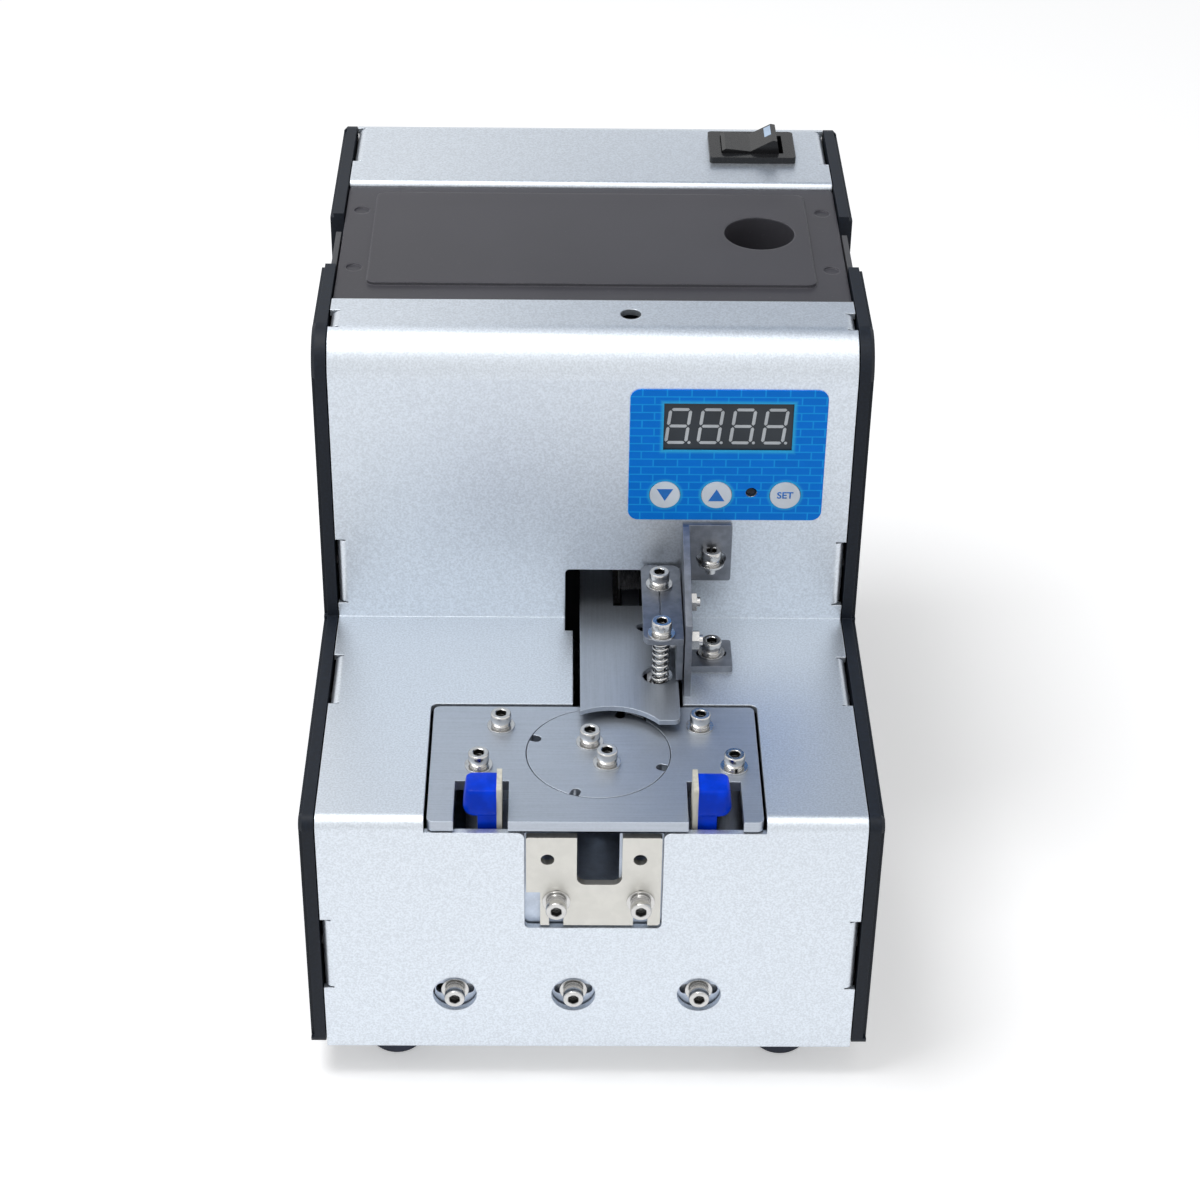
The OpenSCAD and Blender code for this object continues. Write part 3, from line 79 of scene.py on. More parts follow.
class FeederSizes(bpy.types.PropertyGroup):
    """Sizes of the pieces that are made here."""

    head_diameter: FloatProperty(
        name="Cap screw head", description="Diameter of the cap screws' heads",
        default=4.5 * MM, min=1 * MM, unit="LENGTH", precision=5)
    head_height: FloatProperty(
        name="Head height", description="Height of the cap screws' heads",
        default=2.5 * MM, min=0.5 * MM, unit="LENGTH", precision=5)
    washer_diameter: FloatProperty(
        name="Washer", description="Diameter of the flat washers",
        default=6 * MM, min=1 * MM, unit="LENGTH", precision=5)
    washer_thickness: FloatProperty(
        name="Washer thickness", description="Thickness of the flat washers",
        default=0.5 * MM, min=0.1 * MM, unit="LENGTH", precision=5)
    spring_washer: FloatProperty(
        name="Spring washer", description="Thickness of the split spring washers",
        default=0.7 * MM, min=0.1 * MM, unit="LENGTH", precision=5)
    shank_diameter: FloatProperty(
        name="Shank", description="Diameter of the cap screws' shanks",
        default=2.4 * MM, min=0.5 * MM, unit="LENGTH", precision=5)
    spring_wire: FloatProperty(
        name="Spring wire", description="Wire radius of the presser spring",
        default=0.25 * MM, min=0.1 * MM, unit="LENGTH", precision=5)
    spring_turns: FloatProperty(
        name="Spring turns", description="Turns of the presser spring", default=9, min=2)
    bristle_radius: FloatProperty(
        name="Bristle", description="Radius of one bristle of the brush",
        default=0.11 * MM, min=0.02 * MM, unit="LENGTH", precision=5)
    bristle_density: FloatProperty(
        name="Bristle density", description="Bristles for each square metre of the hub",
        default=7.0e6, min=1)
    digit_pitch: FloatProperty(
        name="Digit pitch", description="Distance from one digit to the next",
        default=7.15 * MM, min=1 * MM, unit="LENGTH", precision=5)
    digit_height: FloatProperty(
        name="Digit height", description="Height of the display's digits",
        default=9.2 * MM, min=1 * MM, unit="LENGTH", precision=5)
    brick_width: FloatProperty(
        name="Brick", description="Width of one brick of the label's pattern",
        default=5.4 * MM, min=1 * MM, unit="LENGTH", precision=5)
    brick_height: FloatProperty(
        name="Brick row", description="Height of one row of bricks",
        default=2.0 * MM, min=0.5 * MM, unit="LENGTH", precision=5)
    seed: IntProperty(
        name="Seed", description="Seed of the screws' turn and of the bristles", default=5)


def colour_property(name, description, default):
    return FloatVectorProperty(
        name=name, description=description, subtype="COLOR", size=3, min=0, max=1,
        default=tuple(default))


class FeederColours(bpy.types.PropertyGroup):
    """Base colours of the finishes."""

    cover: colour_property("Covers", "Anodised sheet of the two covers",
                           (0.70, 0.75, 0.81))
    side: colour_property("Side plates", "Satin black of the side plates",
                          (0.005, 0.008, 0.014))
    lid: colour_property("Lid", "Smoked lid of the hopper", (0.066, 0.065, 0.076))
    steel: colour_property("Ground steel", "Plate, disc and rail cover",
                           (0.44, 0.48, 0.54))
    nickel: colour_property("Nickel", "Plated brackets", (0.66, 0.65, 0.61))
    # Painted shade: a darker colour for the bridge and presser brackets, which lie in shade.
    shaded_bracket: colour_property("Brackets in shade", "Bridge and presser over the rail",
                             (0.22, 0.235, 0.265))
    screw: colour_property("Screws", "Nickel-plated screws", (0.60, 0.595, 0.585))
    label: colour_property("Label", "Blue of the control label", (0.001, 0.22, 0.86))
    mortar: colour_property("Brick lines", "Lighter lines on the label",
                            (0.01, 0.37, 0.95))
    glow: colour_property("Printed glow", "Light border round window and buttons",
                          (0.04, 0.50, 0.90))
    display: colour_property("Display", "Face of the display", (0.042, 0.050, 0.060))
    segment: colour_property("Segments", "Unlit segments", (0.58, 0.61, 0.64))
    button: colour_property("Buttons", "Caps of the three buttons", (0.74, 0.80, 0.88))
    button_mark: colour_property("Button marks", "Arrows and SET", (0.005, 0.17, 0.60))
    sensor: colour_property("Sensors", "Blue sleeves", (0.0, 0.045, 0.66))
    strip: colour_property("Strips", "Laminate strips", (0.62, 0.60, 0.52))
    panel: colour_property("Inner panel", "Blue passivated zinc",
                           COLOUR_OF["panel_zinc"])
    rubber: colour_property("Feet", "Rubber feet", (0.03, 0.035, 0.055))


class FeederStage(bpy.types.PropertyGroup):
    """Floor, lamps and camera."""

    floor: colour_property("Floor", "Pale floor", (0.86, 0.865, 0.875))
    board: colour_property("Board", "Dark board behind, on the right", (0.16, 0.24, 0.36))
    key_power: FloatProperty(
        name="Key lamp", description="Power of the lamp above, on the left",
        default=5.4, min=0, unit="POWER")
    fill_power: FloatProperty(
        name="Fill lamp", description="Power of the fill lamp above",
        default=1.2, min=0, unit="POWER")
    surround: FloatProperty(
        name="Surround", description="Strength of the light all round", default=0.45, min=0)
    floor_lift: FloatProperty(
        name="Floor lift", description="Light that the floor adds where it is looked at",
        default=0.36, min=0)


# ---- Node trees from Python expressions ----


class Wire:
    """A socket that takes part in expressions; each operator adds its Math node."""

    def __init__(self, nodes, socket):
        self.nodes = nodes
        self.socket = socket

    def _math(self, operation, *values):
        return self.nodes.add(
            "ShaderNodeMath", {"operation": operation}, dict(enumerate(values)))

    def __add__(self, other):
        return self._math("ADD", self, other)

    def __radd__(self, other):
        return self._math("ADD", other, self)

    def __sub__(self, other):
        return self._math("SUBTRACT", self, other)

    def __rsub__(self, other):
        return self._math("SUBTRACT", other, self)

    def __mul__(self, other):
        return self._math("MULTIPLY", self, other)

    def __rmul__(self, other):
        return self._math("MULTIPLY", other, self)

    def __truediv__(self, other):
        return self._math("DIVIDE", self, other)

    def __pow__(self, other):
        return self._math("POWER", self, other)

    def __lt__(self, other):
        return self._math("LESS_THAN", self, other)

    def __gt__(self, other):
        return self._math("GREATER_THAN", self, other)

    def __abs__(self):
        return self._math("ABSOLUTE", self)

    def at_least(self, other):
        return self._math("MAXIMUM", self, other)

    def at_most(self, other):
        return self._math("MINIMUM", self, other)

    def output(self, index):
        """Another output of the same node."""
        return Wire(self.nodes, self.socket.node.outputs[index])

    def smooth(self, low, high, start=0.0, end=1.0):
        """Runs softly from start to end while this goes from low to high."""
        return self.nodes.add(
            "ShaderNodeMapRange", {"interpolation_type": "SMOOTHSTEP"},
            {"Value": self, "From Min": low, "From Max": high, "To Min": start,
             "To Max": end})


class Nodes:
    """A node tree that is filled by one method."""

    def __init__(self, tree):
        self.tree = tree
        tree.nodes.clear()

    def add(self, kind, settings=None, inputs=None, output=0):
        """Adds a node: its settings come first, then its sockets' values or links."""
        node = self.tree.nodes.new(kind)
        for key, value in (settings or {}).items():
            if key == "stops":
                self._set_stops(node.color_ramp.elements, value)
            else:
                setattr(node, key, value)
        for key, value in (inputs or {}).items():
            socket = node.inputs[key]
            if isinstance(value, Wire):
                self.tree.links.new(value.socket, socket)
            elif socket.type == "RGBA" and len(value) == 3:
                socket.default_value = (*value, 1)
            else:
                socket.default_value = value
        return Wire(self, node.outputs[output]) if node.outputs else None

    @staticmethod
    def _set_stops(elements, stops):
        while len(elements) < len(stops):
            elements.new(0.5)
        for element, (position, colour) in zip(elements, stops):
            element.position = position
            element.color = (*colour, 1)


class Finish(Nodes):
    """A procedural material on Object coordinates."""

    def __init__(self, name):
        self.material = bpy.data.materials.new(name)
        self.material.use_nodes = True
        super().__init__(self.material.node_tree)
        self.point = self.add("ShaderNodeTexCoord", output=3)

    def xyz(self):
        x = self.add("ShaderNodeSeparateXYZ", None, {0: self.point})
        return x, x.output(1), x.output(2)

    def stretched(self, scale, turn=(0, 0, 0)):
        return self.add("ShaderNodeMapping", None,
                        {"Vector": self.point, "Scale": scale, "Rotation": turn})

    def noise(self, scale, detail=2.0, rough=0.5, vector=None):
        return self.add("ShaderNodeTexNoise", None,
                        {"Vector": vector or self.point, "Scale": scale,
                         "Detail": detail, "Roughness": rough})

    def mix(self, factor, a, b):
        return self.add("ShaderNodeMix", {"data_type": "RGBA"}, {0: factor, 6: a, 7: b},
                        output=2)

    def rounded(self, radius):
        """The normal of edges that are rounded by radius."""
        return self.add("ShaderNodeBevel", {"samples": 4}, {"Radius": radius})

    def edge(self, radius, low=0.02, high=0.25):
        """1 along sharp edges, 0 on the open faces."""
        flat = self.add("ShaderNodeNewGeometry", output=1)
        dot = self.add("ShaderNodeVectorMath", {"operation": "DOT_PRODUCT"},
                       {0: self.rounded(radius), 1: flat}, output=1)
        return (1 - dot).smooth(low, high)

    def bump(self, height, distance, strength=1.0, normal=None):
        inputs = {"Height": height, "Distance": distance, "Strength": strength}
        if normal:
            inputs["Normal"] = normal
        return self.add("ShaderNodeBump", None, inputs)

    def done(self, colour, rough, normal=None, metallic=0.0, **constants):
        """Principled shader; constants are set straight on its sockets."""
        inputs = {"Base Color": colour, "Roughness": rough, "Metallic": metallic}
        if normal:
            inputs["Normal"] = normal
        for key, value in constants.items():
            inputs[key.replace("_", " ").title().replace("Ior", "IOR")] = value
        shader = self.add("ShaderNodeBsdfPrincipled", None, inputs)
        self.add("ShaderNodeOutputMaterial", None, {"Surface": shader})
        return self.material


def shade(colour, factor):
    return tuple(min(1.0, channel * factor) for channel in colour)


# ---- Finishes ----


def anodised_sheet(colour):
    """Bead-blasted and clear anodised: fine sparkle over a soft sheen."""
    f = Finish("anodised_sheet")
    grain = f.noise(2300, 2.0, 0.6)
    fine = f.noise(5200, 1.0)
    cloud = f.noise(26, 3.0)
    tone = f.mix(grain.smooth(0.3, 0.7), shade(colour, 0.86), shade(colour, 1.06))
    tone = f.mix(cloud.smooth(0.35, 0.75) * 0.1, tone, shade(colour, 0.95))
    # Lighter along the edges: a painted highlight, with some edge wear.
    tone = f.mix(f.edge(0.35 * MM) * 0.55, tone, shade(colour, 1.14))
    rough = 0.33 + grain * 0.12 + cloud * 0.02
    normal = f.bump(grain * 0.7 + fine * 0.3, 0.028 * MM, 1.0, f.rounded(0.3 * MM))
    return f.done(tone, rough, normal, 0.92)


def black_plate(colour):
    f = Finish("satin_black_plate")
    grain = f.noise(1500, 2.0)
    cloud = f.noise(18, 4.0)
    tone = f.mix(grain.smooth(0.35, 0.7), colour, shade(colour, 1.6))
    # Lighter grey along the edges: a painted highlight on the black, with some edge wear.
    tone = f.mix(f.edge(0.3 * MM) * 0.6, tone, (0.045, 0.055, 0.072))
    rough = 0.42 + grain * 0.12 + cloud * 0.1
    normal = f.bump(grain, 0.012 * MM, 1.0, f.rounded(0.25 * MM))
    return f.done(tone, rough, normal, 0.0, specular_ior_level=0.25)


def ground_steel(colour, name="ground_steel", along="x"):
    """Ground flat: long fine lines one way, faint stains."""
    f = Finish(name)
    stretch = (60, 2600, 2600) if along == "x" else (2600, 60, 2600)
    lines = f.noise(1.0, 3.0, 0.65, f.stretched(stretch))
    grain = f.noise(1900, 2.0)
    cloud = f.noise(60, 4.0, 0.6)
    tone = f.mix(lines.smooth(0.3, 0.7), shade(colour, 0.93), shade(colour, 1.05))
    tone = f.mix(grain.smooth(0.35, 0.7) * 0.35, tone, shade(colour, 1.12))
    tone = f.mix(cloud.smooth(0.5, 0.8) * 0.35, tone, shade(colour, 0.82))
    # Brighter along the edges: a painted highlight, with some edge wear.
    tone = f.mix(f.edge(0.3 * MM) * 0.8, tone, shade(colour, 1.5))
    rough = 0.34 + lines * 0.08 + cloud * 0.08
    normal = f.bump(lines * 0.35 + grain * 0.65, 0.008 * MM, 1.0, f.rounded(0.25 * MM))
    return f.done(tone, rough, normal, 0.95)


def nickel_sheet(colour):
    """Nickel-plated sheet, slightly yellow, with a faint mottle."""
    f = Finish("nickel_sheet")
    mottle = f.noise(320, 4.0, 0.6)
    grain = f.noise(2400, 2.0)
    tone = f.mix(mottle.smooth(0.35, 0.7), shade(colour, 0.96), shade(colour, 1.03))
    # Brighter along the edges: a painted highlight, with some edge wear.
    tone = f.mix(f.edge(0.25 * MM), tone, shade(colour, 1.25))
    rough = 0.34 + mottle * 0.08 + grain * 0.08
    normal = f.bump(grain, 0.012 * MM, 1.0, f.rounded(0.2 * MM))
    return f.done(tone, rough, normal, 0.85)


def bright_plating(colour, name="bright_plating"):
    f = Finish(name)
    scratch = f.noise(1.0, 3.0, 0.6, f.stretched((1500, 1500, 240)))
    grime = f.noise(700, 3.0)
    # Painted shade: the marked socket of each head is darkened almost to black.
    recess = f.add("ShaderNodeAttribute", {"attribute_name": "recess"}, output=2)
    tone = f.mix(grime.smooth(0.5, 0.8) * 0.5, colour, shade(colour, 0.6))
    tone = f.mix(recess, tone, shade(colour, 0.12))
    rough = 0.12 + scratch * 0.12 + grime * 0.06
    normal = f.bump(scratch, 0.006 * MM, 1.0, f.rounded(0.15 * MM))
    return f.done(tone, rough, normal, 1.0)


def dark_screw_finish(colour):
    f = Finish("black_oxide")
    grain = f.noise(1600, 3.0)
    tone = f.mix(grain.smooth(0.4, 0.7), shade(colour, 0.7), shade(colour, 1.6))
    # Light grey along the edges: a painted highlight, with some edge wear.
    tone = f.mix(f.edge(0.2 * MM), tone, (0.22, 0.22, 0.23))
    return f.done(tone, 0.34 + grain * 0.15, f.rounded(0.15 * MM), 0.6)


def smoked_sheet(colour):
    """Smoked acrylic: satin and hazy, lets the hopper's edges show faintly. Its own edges get a
    painted highlight, and lighter specks stand for the glints of small dimples.
    """
    f = Finish("smoked_sheet")
    haze = f.noise(34, 4.0, 0.6)
    dimple_glint = f.noise(1900, 2.0)
    tone = f.mix(haze.smooth(0.3, 0.75), shade(colour, 0.93), shade(colour, 1.12))
    # Lighter specks where small dimples catch the light: painted glints.
    tone = f.mix(dimple_glint.smooth(0.66, 0.78) * 0.5, tone, shade(colour, 2.0))
    # Much lighter along the lid's own edges: a painted highlight.
    tone = f.mix(f.edge(0.6 * MM, 0.01, 0.2) * 0.8, tone, shade(colour, 2.6))
    rough = 0.34 + haze * 0.12
    alpha = 0.88 - haze * 0.08
    normal = f.bump(f.noise(60, 2.0), 0.01 * MM, 1.0, f.rounded(0.8 * MM))
    return f.done(tone, rough, normal, 0.0, alpha=alpha, specular_ior_level=0.3)


def moulded_plastic(colour, name, rough=0.45, texture=0.02 * MM):
    f = Finish(name)
    grain = f.noise(1400, 3.0)
    cloud = f.noise(40, 3.0)
    tone = f.mix(cloud.smooth(0.3, 0.7), shade(colour, 0.9), shade(colour, 1.15))
    # Brighter along the edges: a painted highlight, with some edge wear.
    tone = f.mix(f.edge(0.25 * MM) * 0.5, tone, shade(colour, 2.0))
    normal = f.bump(grain, texture, 0.8, f.rounded(0.2 * MM))
    return f.done(tone, rough + grain * 0.1, normal, specular_ior_level=0.3)


def plain_metal(colour, name, rough=0.35, streak=(900, 900, 90)):
    f = Finish(name)
    lines = f.noise(1.0, 3.0, 0.6, f.stretched(streak))
    cloud = f.noise(70, 4.0)
    tone = f.mix(lines.smooth(0.3, 0.7), shade(colour, 0.85), shade(colour, 1.1))
    tone = f.mix(cloud.smooth(0.5, 0.8) * 0.4, tone, shade(colour, 0.75))
    # Brighter along the edges: a painted highlight, with some edge wear.
    tone = f.mix(f.edge(0.25 * MM) * 0.6, tone, shade(colour, 1.35))
    normal = f.bump(lines, 0.01 * MM, 1.0, f.rounded(0.2 * MM))
    return f.done(tone, rough + lines * 0.15, normal, 0.9)


def passivated_panel(colour):
    """Zinc with a blue bloom."""
    f = Finish("passivated_panel")
    bloom = f.noise(150, 4.0, 0.6)
    grain = f.noise(2200, 2.0)
    tone = f.mix(bloom.smooth(0.3, 0.7), shade(colour, 0.85), shade(colour, 1.2))
    tone = f.mix(grain.smooth(0.5, 0.8) * 0.3, tone, (0.75, 0.80, 0.88))
    normal = f.bump(grain, 0.01 * MM, 1.0, f.rounded(0.2 * MM))
    return f.done(tone, 0.28 + bloom * 0.15, normal, 0.85)


def cast_paint(colour):
    f = Finish("cast_paint")
    lump = f.noise(420, 4.0, 0.6)
    tone = f.mix(lump.smooth(0.3, 0.7), shade(colour, 0.75), shade(colour, 1.3))
    return f.done(tone, 0.5 + lump * 0.15, f.bump(lump, 0.08 * MM), 0.1)


def copper_winding(colour):
    f = Finish("copper_winding")
    z = f.xyz()[2]
    turn = f.add("ShaderNodeMath", {"operation": "SINE"}, {0: z * (2 * math.pi / (0.45 * MM))})
    lacquer = f.noise(300, 2.0)
    # Painted shade in the grooves between the wire's turns and a painted highlight on each turn's
    # crest.
    tone = f.mix(turn.smooth(-1, 1), shade(colour, 0.45), shade(colour, 1.2))
    return f.done(tone, 0.25 + lacquer * 0.1, f.bump(turn, 0.08 * MM), 0.7)


def rubber_finish(colour):
    f = Finish("moulded_rubber")
    grain = f.noise(1100, 4.0)
    dust = f.noise(90, 4.0)
    tone = f.mix(dust.smooth(0.45, 0.8) * 0.6, colour, shade(colour, 2.6))
    return f.done(tone, 0.62 + grain * 0.12, f.bump(grain, 0.03 * MM))


def bristle_finish(colour):
    f = Finish("nylon_bristle")
    tone = f.mix(f.noise(700, 2.0).smooth(0.3, 0.7), shade(colour, 0.6), shade(colour, 2.2))
    return f.done(tone, 0.45 + f.noise(2500) * 0.1)


def circuit_board(colour):
    f = Finish("circuit_board")
    x, y, z = f.xyz()
    track = f.add("ShaderNodeTexVoronoi", {"distance": "MANHATTAN", "feature": "F1"},
                  {"Vector": f.point, "Scale": 330})
    fine = f.noise(500, 2.0)
    tone = f.mix(track.smooth(0.28, 0.32), shade(colour, 1.5), shade(colour, 0.8))
    tone = f.mix((fine > 0.7) * 0.8, tone, (0.75, 0.66, 0.42))
    return f.done(tone, 0.30 + fine * 0.12, f.bump(track, 0.02 * MM, 0.5), 0.0,
                  coat_weight=0.3, coat_roughness=0.15)


def printed_label(colours, sizes):
    """Blue film with a brick pattern and light borders round window and buttons."""
    f = Finish("printed_label")
    x, y, z = f.xyz()
    low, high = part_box("control_label")
    window = WINDOW
    flat = f.add("ShaderNodeCombineXYZ", None, {0: x - low.x, 1: z - low.z})
    brick = f.add("ShaderNodeTexBrick", {"offset": 0.5},
                  {"Vector": flat, "Color1": colours.label, "Color2": shade(colours.label, 0.92),
                   "Mortar": colours.mortar, "Scale": 1.0, "Mortar Size": 0.17 * MM,
                   "Mortar Smooth": 0.2, "Brick Width": sizes.brick_width,
                   "Row Height": sizes.brick_height})
    across = abs(x - (window[0] + window[1]) / 2) - (window[1] - window[0]) / 2
    upward = abs(z - (window[2] + window[3]) / 2) - (window[3] - window[2]) / 2
    near = across.at_least(upward)
    glow = near.smooth(1.1 * MM, 0.1 * MM)
    for centre, radius in BUTTONS:
        gap = ((x - centre.x) ** 2.0 + (z - centre.z) ** 2.0) ** 0.5 - radius
        glow = glow.at_least(gap.smooth(1.0 * MM, 0.05 * MM))
    tone = f.mix(glow * 0.85, brick, colours.glow)
    tone = f.mix(f.noise(260, 3.0).smooth(0.4, 0.8) * 0.12, tone, shade(colours.label, 0.8))
    film = f.noise(420, 2.0)
    normal = f.bump(film, 0.006 * MM, 1.0, f.rounded(0.15 * MM))
    return f.done(tone, 0.38 + film * 0.1, normal, 0.0, specular_ior_level=0.1)


def glossy_face(colour, name, rough=0.12, shine=0.25):
    f = Finish(name)
    haze = f.noise(120, 3.0)
    tone = f.mix(haze.smooth(0.3, 0.7), shade(colour, 0.92), shade(colour, 1.08))
    return f.done(tone, rough + haze * 0.08, f.rounded(0.15 * MM), specular_ior_level=shine)


def shrink_sleeve(colour):
    """Blue shrink sleeve: glossy, thin wrinkles round the body."""
    f = Finish("shrink_sleeve")
    fold = f.noise(1.0, 4.0, 0.6, f.stretched((260, 260, 620)))
    haze = f.noise(240, 3.0)
    tone = f.mix(haze.smooth(0.35, 0.75), shade(colour, 0.85), shade(colour, 1.2))
    normal = f.bump(fold, 0.16 * MM, 0.8)
    return f.done(tone, 0.24 + haze * 0.16, normal, 0.0, specular_ior_level=0.1)


def laminate(colour):
    f = Finish("laminate_strip")
    fibre = f.noise(1.0, 4.0, 0.6, f.stretched((700, 700, 160)))
    tone = f.mix(fibre.smooth(0.3, 0.7), shade(colour, 0.85), shade(colour, 1.12))
    tone = f.mix(f.edge(0.2 * MM) * 0.4, tone, shade(colour, 0.6))
    return f.done(tone, 0.42 + fibre * 0.12, f.bump(fibre, 0.02 * MM, 0.8))


def flat_ink(colour, name):
    f = Finish(name)
    speckle = f.noise(900, 2.0)
    tone = f.mix(speckle.smooth(0.4, 0.8) * 0.4, colour, shade(colour, 1.3))
    return f.done(tone, 0.4 + speckle * 0.1)


FINISHES = {}


def make_finishes(colours, sizes):
    """One material for each material slot of the record."""
    plain = COLOUR_OF
    FINISHES.update({
        "side_plate": black_plate(colours.side),
        "anodised_cover": anodised_sheet(colours.cover),
        "zinc_sheet": plain_metal(plain["zinc_sheet"], "zinc_sheet", 0.32, (300, 300, 300)),
        "rubber": rubber_finish(colours.rubber),
        "bright_screw": bright_plating(colours.screw),
        "black_screw": dark_screw_finish(plain["black_screw"]),
        "smoked_lid": smoked_sheet(colours.lid),
        "dark_moulding": moulded_plastic(plain["dark_moulding"], "dark_moulding"),
        "machined_aluminium": plain_metal(plain["machined_aluminium"], "machined_aluminium"),
        "ground_steel": ground_steel(colours.steel),
        "nickel_bracket": nickel_sheet(colours.nickel),
        "white_plastic": moulded_plastic(plain["white_plastic"], "white_acetal", 0.35),
        "motor_can": plain_metal(plain["motor_can"], "motor_can", 0.3, (90, 900, 900)),
        "brush_hair": bristle_finish(plain["brush_hair"]),
        "coil_copper": copper_winding(plain["coil_copper"]),
        "cast_base": cast_paint(plain["cast_base"]),
        "panel_zinc": passivated_panel(colours.panel),
        "sensor_blue": shrink_sleeve(colours.sensor),
        "sensor_strip": laminate(colours.strip),
        "label": printed_label(colours, sizes),
        "display": glossy_face(colours.display, "display_face", 0.25),
        "circuit_board": circuit_board(plain["circuit_board"]),
        "button": glossy_face(colours.button, "button_cap", 0.3),
        "switch_black": moulded_plastic((0.012, 0.0125, 0.014), "switch_black", 0.22, 0.006 * MM),
    })


# ---- Meshes ----


def islands(node):
    """Lowest and highest corner of each separate solid of a node, left to right."""
    mesh = NODES[node].data
    keys = [tuple(round(c * 1e6) for c in v.co) for v in mesh.vertices]
    parent = {key: key for key in keys}

    def root(key):
        while parent[key] != key:
            parent[key] = parent[parent[key]]
            key = parent[key]
        return key

    for polygon in mesh.polygons:
        first = root(keys[polygon.vertices[0]])
        for index in polygon.vertices[1:]:
            parent[root(keys[index])] = first
    groups = {}
    for key, vertex in zip(keys, mesh.vertices):
        groups.setdefault(root(key), []).append(vertex.co)
    boxes = [(Vector(map(min, zip(*points))), Vector(map(max, zip(*points))))
             for points in groups.values()]
    return sorted(boxes, key=lambda box: (round(box[0].x, 4), round(box[0].y, 4)))


def show(name, mesh, node=None, body=None, finish=None, slot=None, replaces=()):
    """Puts a mesh in the scene as a piece of the feeder."""
    piece = bpy.data.objects.new(name, mesh)
    bpy.context.collection.objects.link(piece)
    if finish:
        mesh.materials.clear()
        mesh.materials.append(finish)
    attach(piece, body or BODY_OF[node])
    if replaces:
        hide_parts(*replaces)
    slot or SLOT_OF[node]
    return piece


def finished_mesh(bm, name, smooth_angle=None):
    """Merges doubles, turns normals outwards and gives the mesh."""
    bmesh.ops.remove_doubles(bm, verts=bm.verts, dist=1e-7)
    bmesh.ops.recalc_face_normals(bm, faces=bm.faces)
    mesh = bpy.data.meshes.new(name)
    bm.to_mesh(mesh)
    bm.free()
    if smooth_angle is not None:
        mesh.polygons.foreach_set("use_smooth", [True] * len(mesh.polygons))
        mesh.set_sharp_from_angle(angle=math.radians(smooth_angle))
    return mesh


def prism(bm, outline, low, high, axis="z"):
    """Solid between two copies of an outline, low to high along an axis."""
    turn = {"z": lambda a, b, c: (a, b, c), "y": lambda a, b, c: (a, c, b),
            "x": lambda a, b, c: (c, a, b)}[axis]
    bottom = [bm.verts.new(turn(a, b, low)) for a, b in outline]
    top = [bm.verts.new(turn(a, b, high)) for a, b in outline]
    bm.faces.new(bottom[::-1])
    bm.faces.new(top)
    count = len(outline)
    for i in range(count):
        j = (i + 1) % count
        bm.faces.new((bottom[i], bottom[j], top[j], top[i]))


def lathe(bm, profile, steps, shape=None):
    """Rings of (radius, height) turned about Z; shape(angle, ring) can change a radius."""
    rings = []
    for ring, (radius, height) in enumerate(profile):
        row = []
        for step in range(steps):
            angle = 2 * math.pi * step / steps
            r = radius * (shape(angle, ring) if shape else 1)
            row.append(bm.verts.new((r * math.cos(angle), r * math.sin(angle), height)))
        rings.append(row)
    for lower, upper in zip(rings, rings[1:]):
        for i in range(steps):
            j = (i + 1) % steps
            bm.faces.new((lower[i], lower[j], upper[j], upper[i]))
    bm.faces.new(rings[0][::-1])
    bm.faces.new(rings[-1])


def cap_head_mesh():
    """Socket head one unit across and one unit high, base at zero."""
    bm = bmesh.new()
    profile = [(0.485, 0.0), (0.5, 0.03), (0.5, 0.88), (0.485, 0.95), (0.455, 1.0),
               (0.30, 1.0), (0.275, 0.955), (0.275, 0.48), (0.02, 0.42)]

    def six_sided(angle, ring):
        if ring < 6:
            return 1
        part = (angle + math.pi / 6) % (math.pi / 3) - math.pi / 6
        return math.cos(math.pi / 6) / math.cos(part)

    lathe(bm, profile, 24, six_sided)
    mesh = finished_mesh(bm, "cap_head", 28)
    # Points inside the hex socket are marked so that the finish paints shade there.
    socket_shade_layer = mesh.attributes.new("recess", "FLOAT", "POINT")
    for vertex in mesh.vertices:
        radius = math.hypot(vertex.co.x, vertex.co.y)
        inside = radius < 0.33 and vertex.co.z < 0.99
        socket_shade_layer.data[vertex.index].value = 0.9 if inside else 0.0
    return mesh


# ---- Geometry node graphs ----


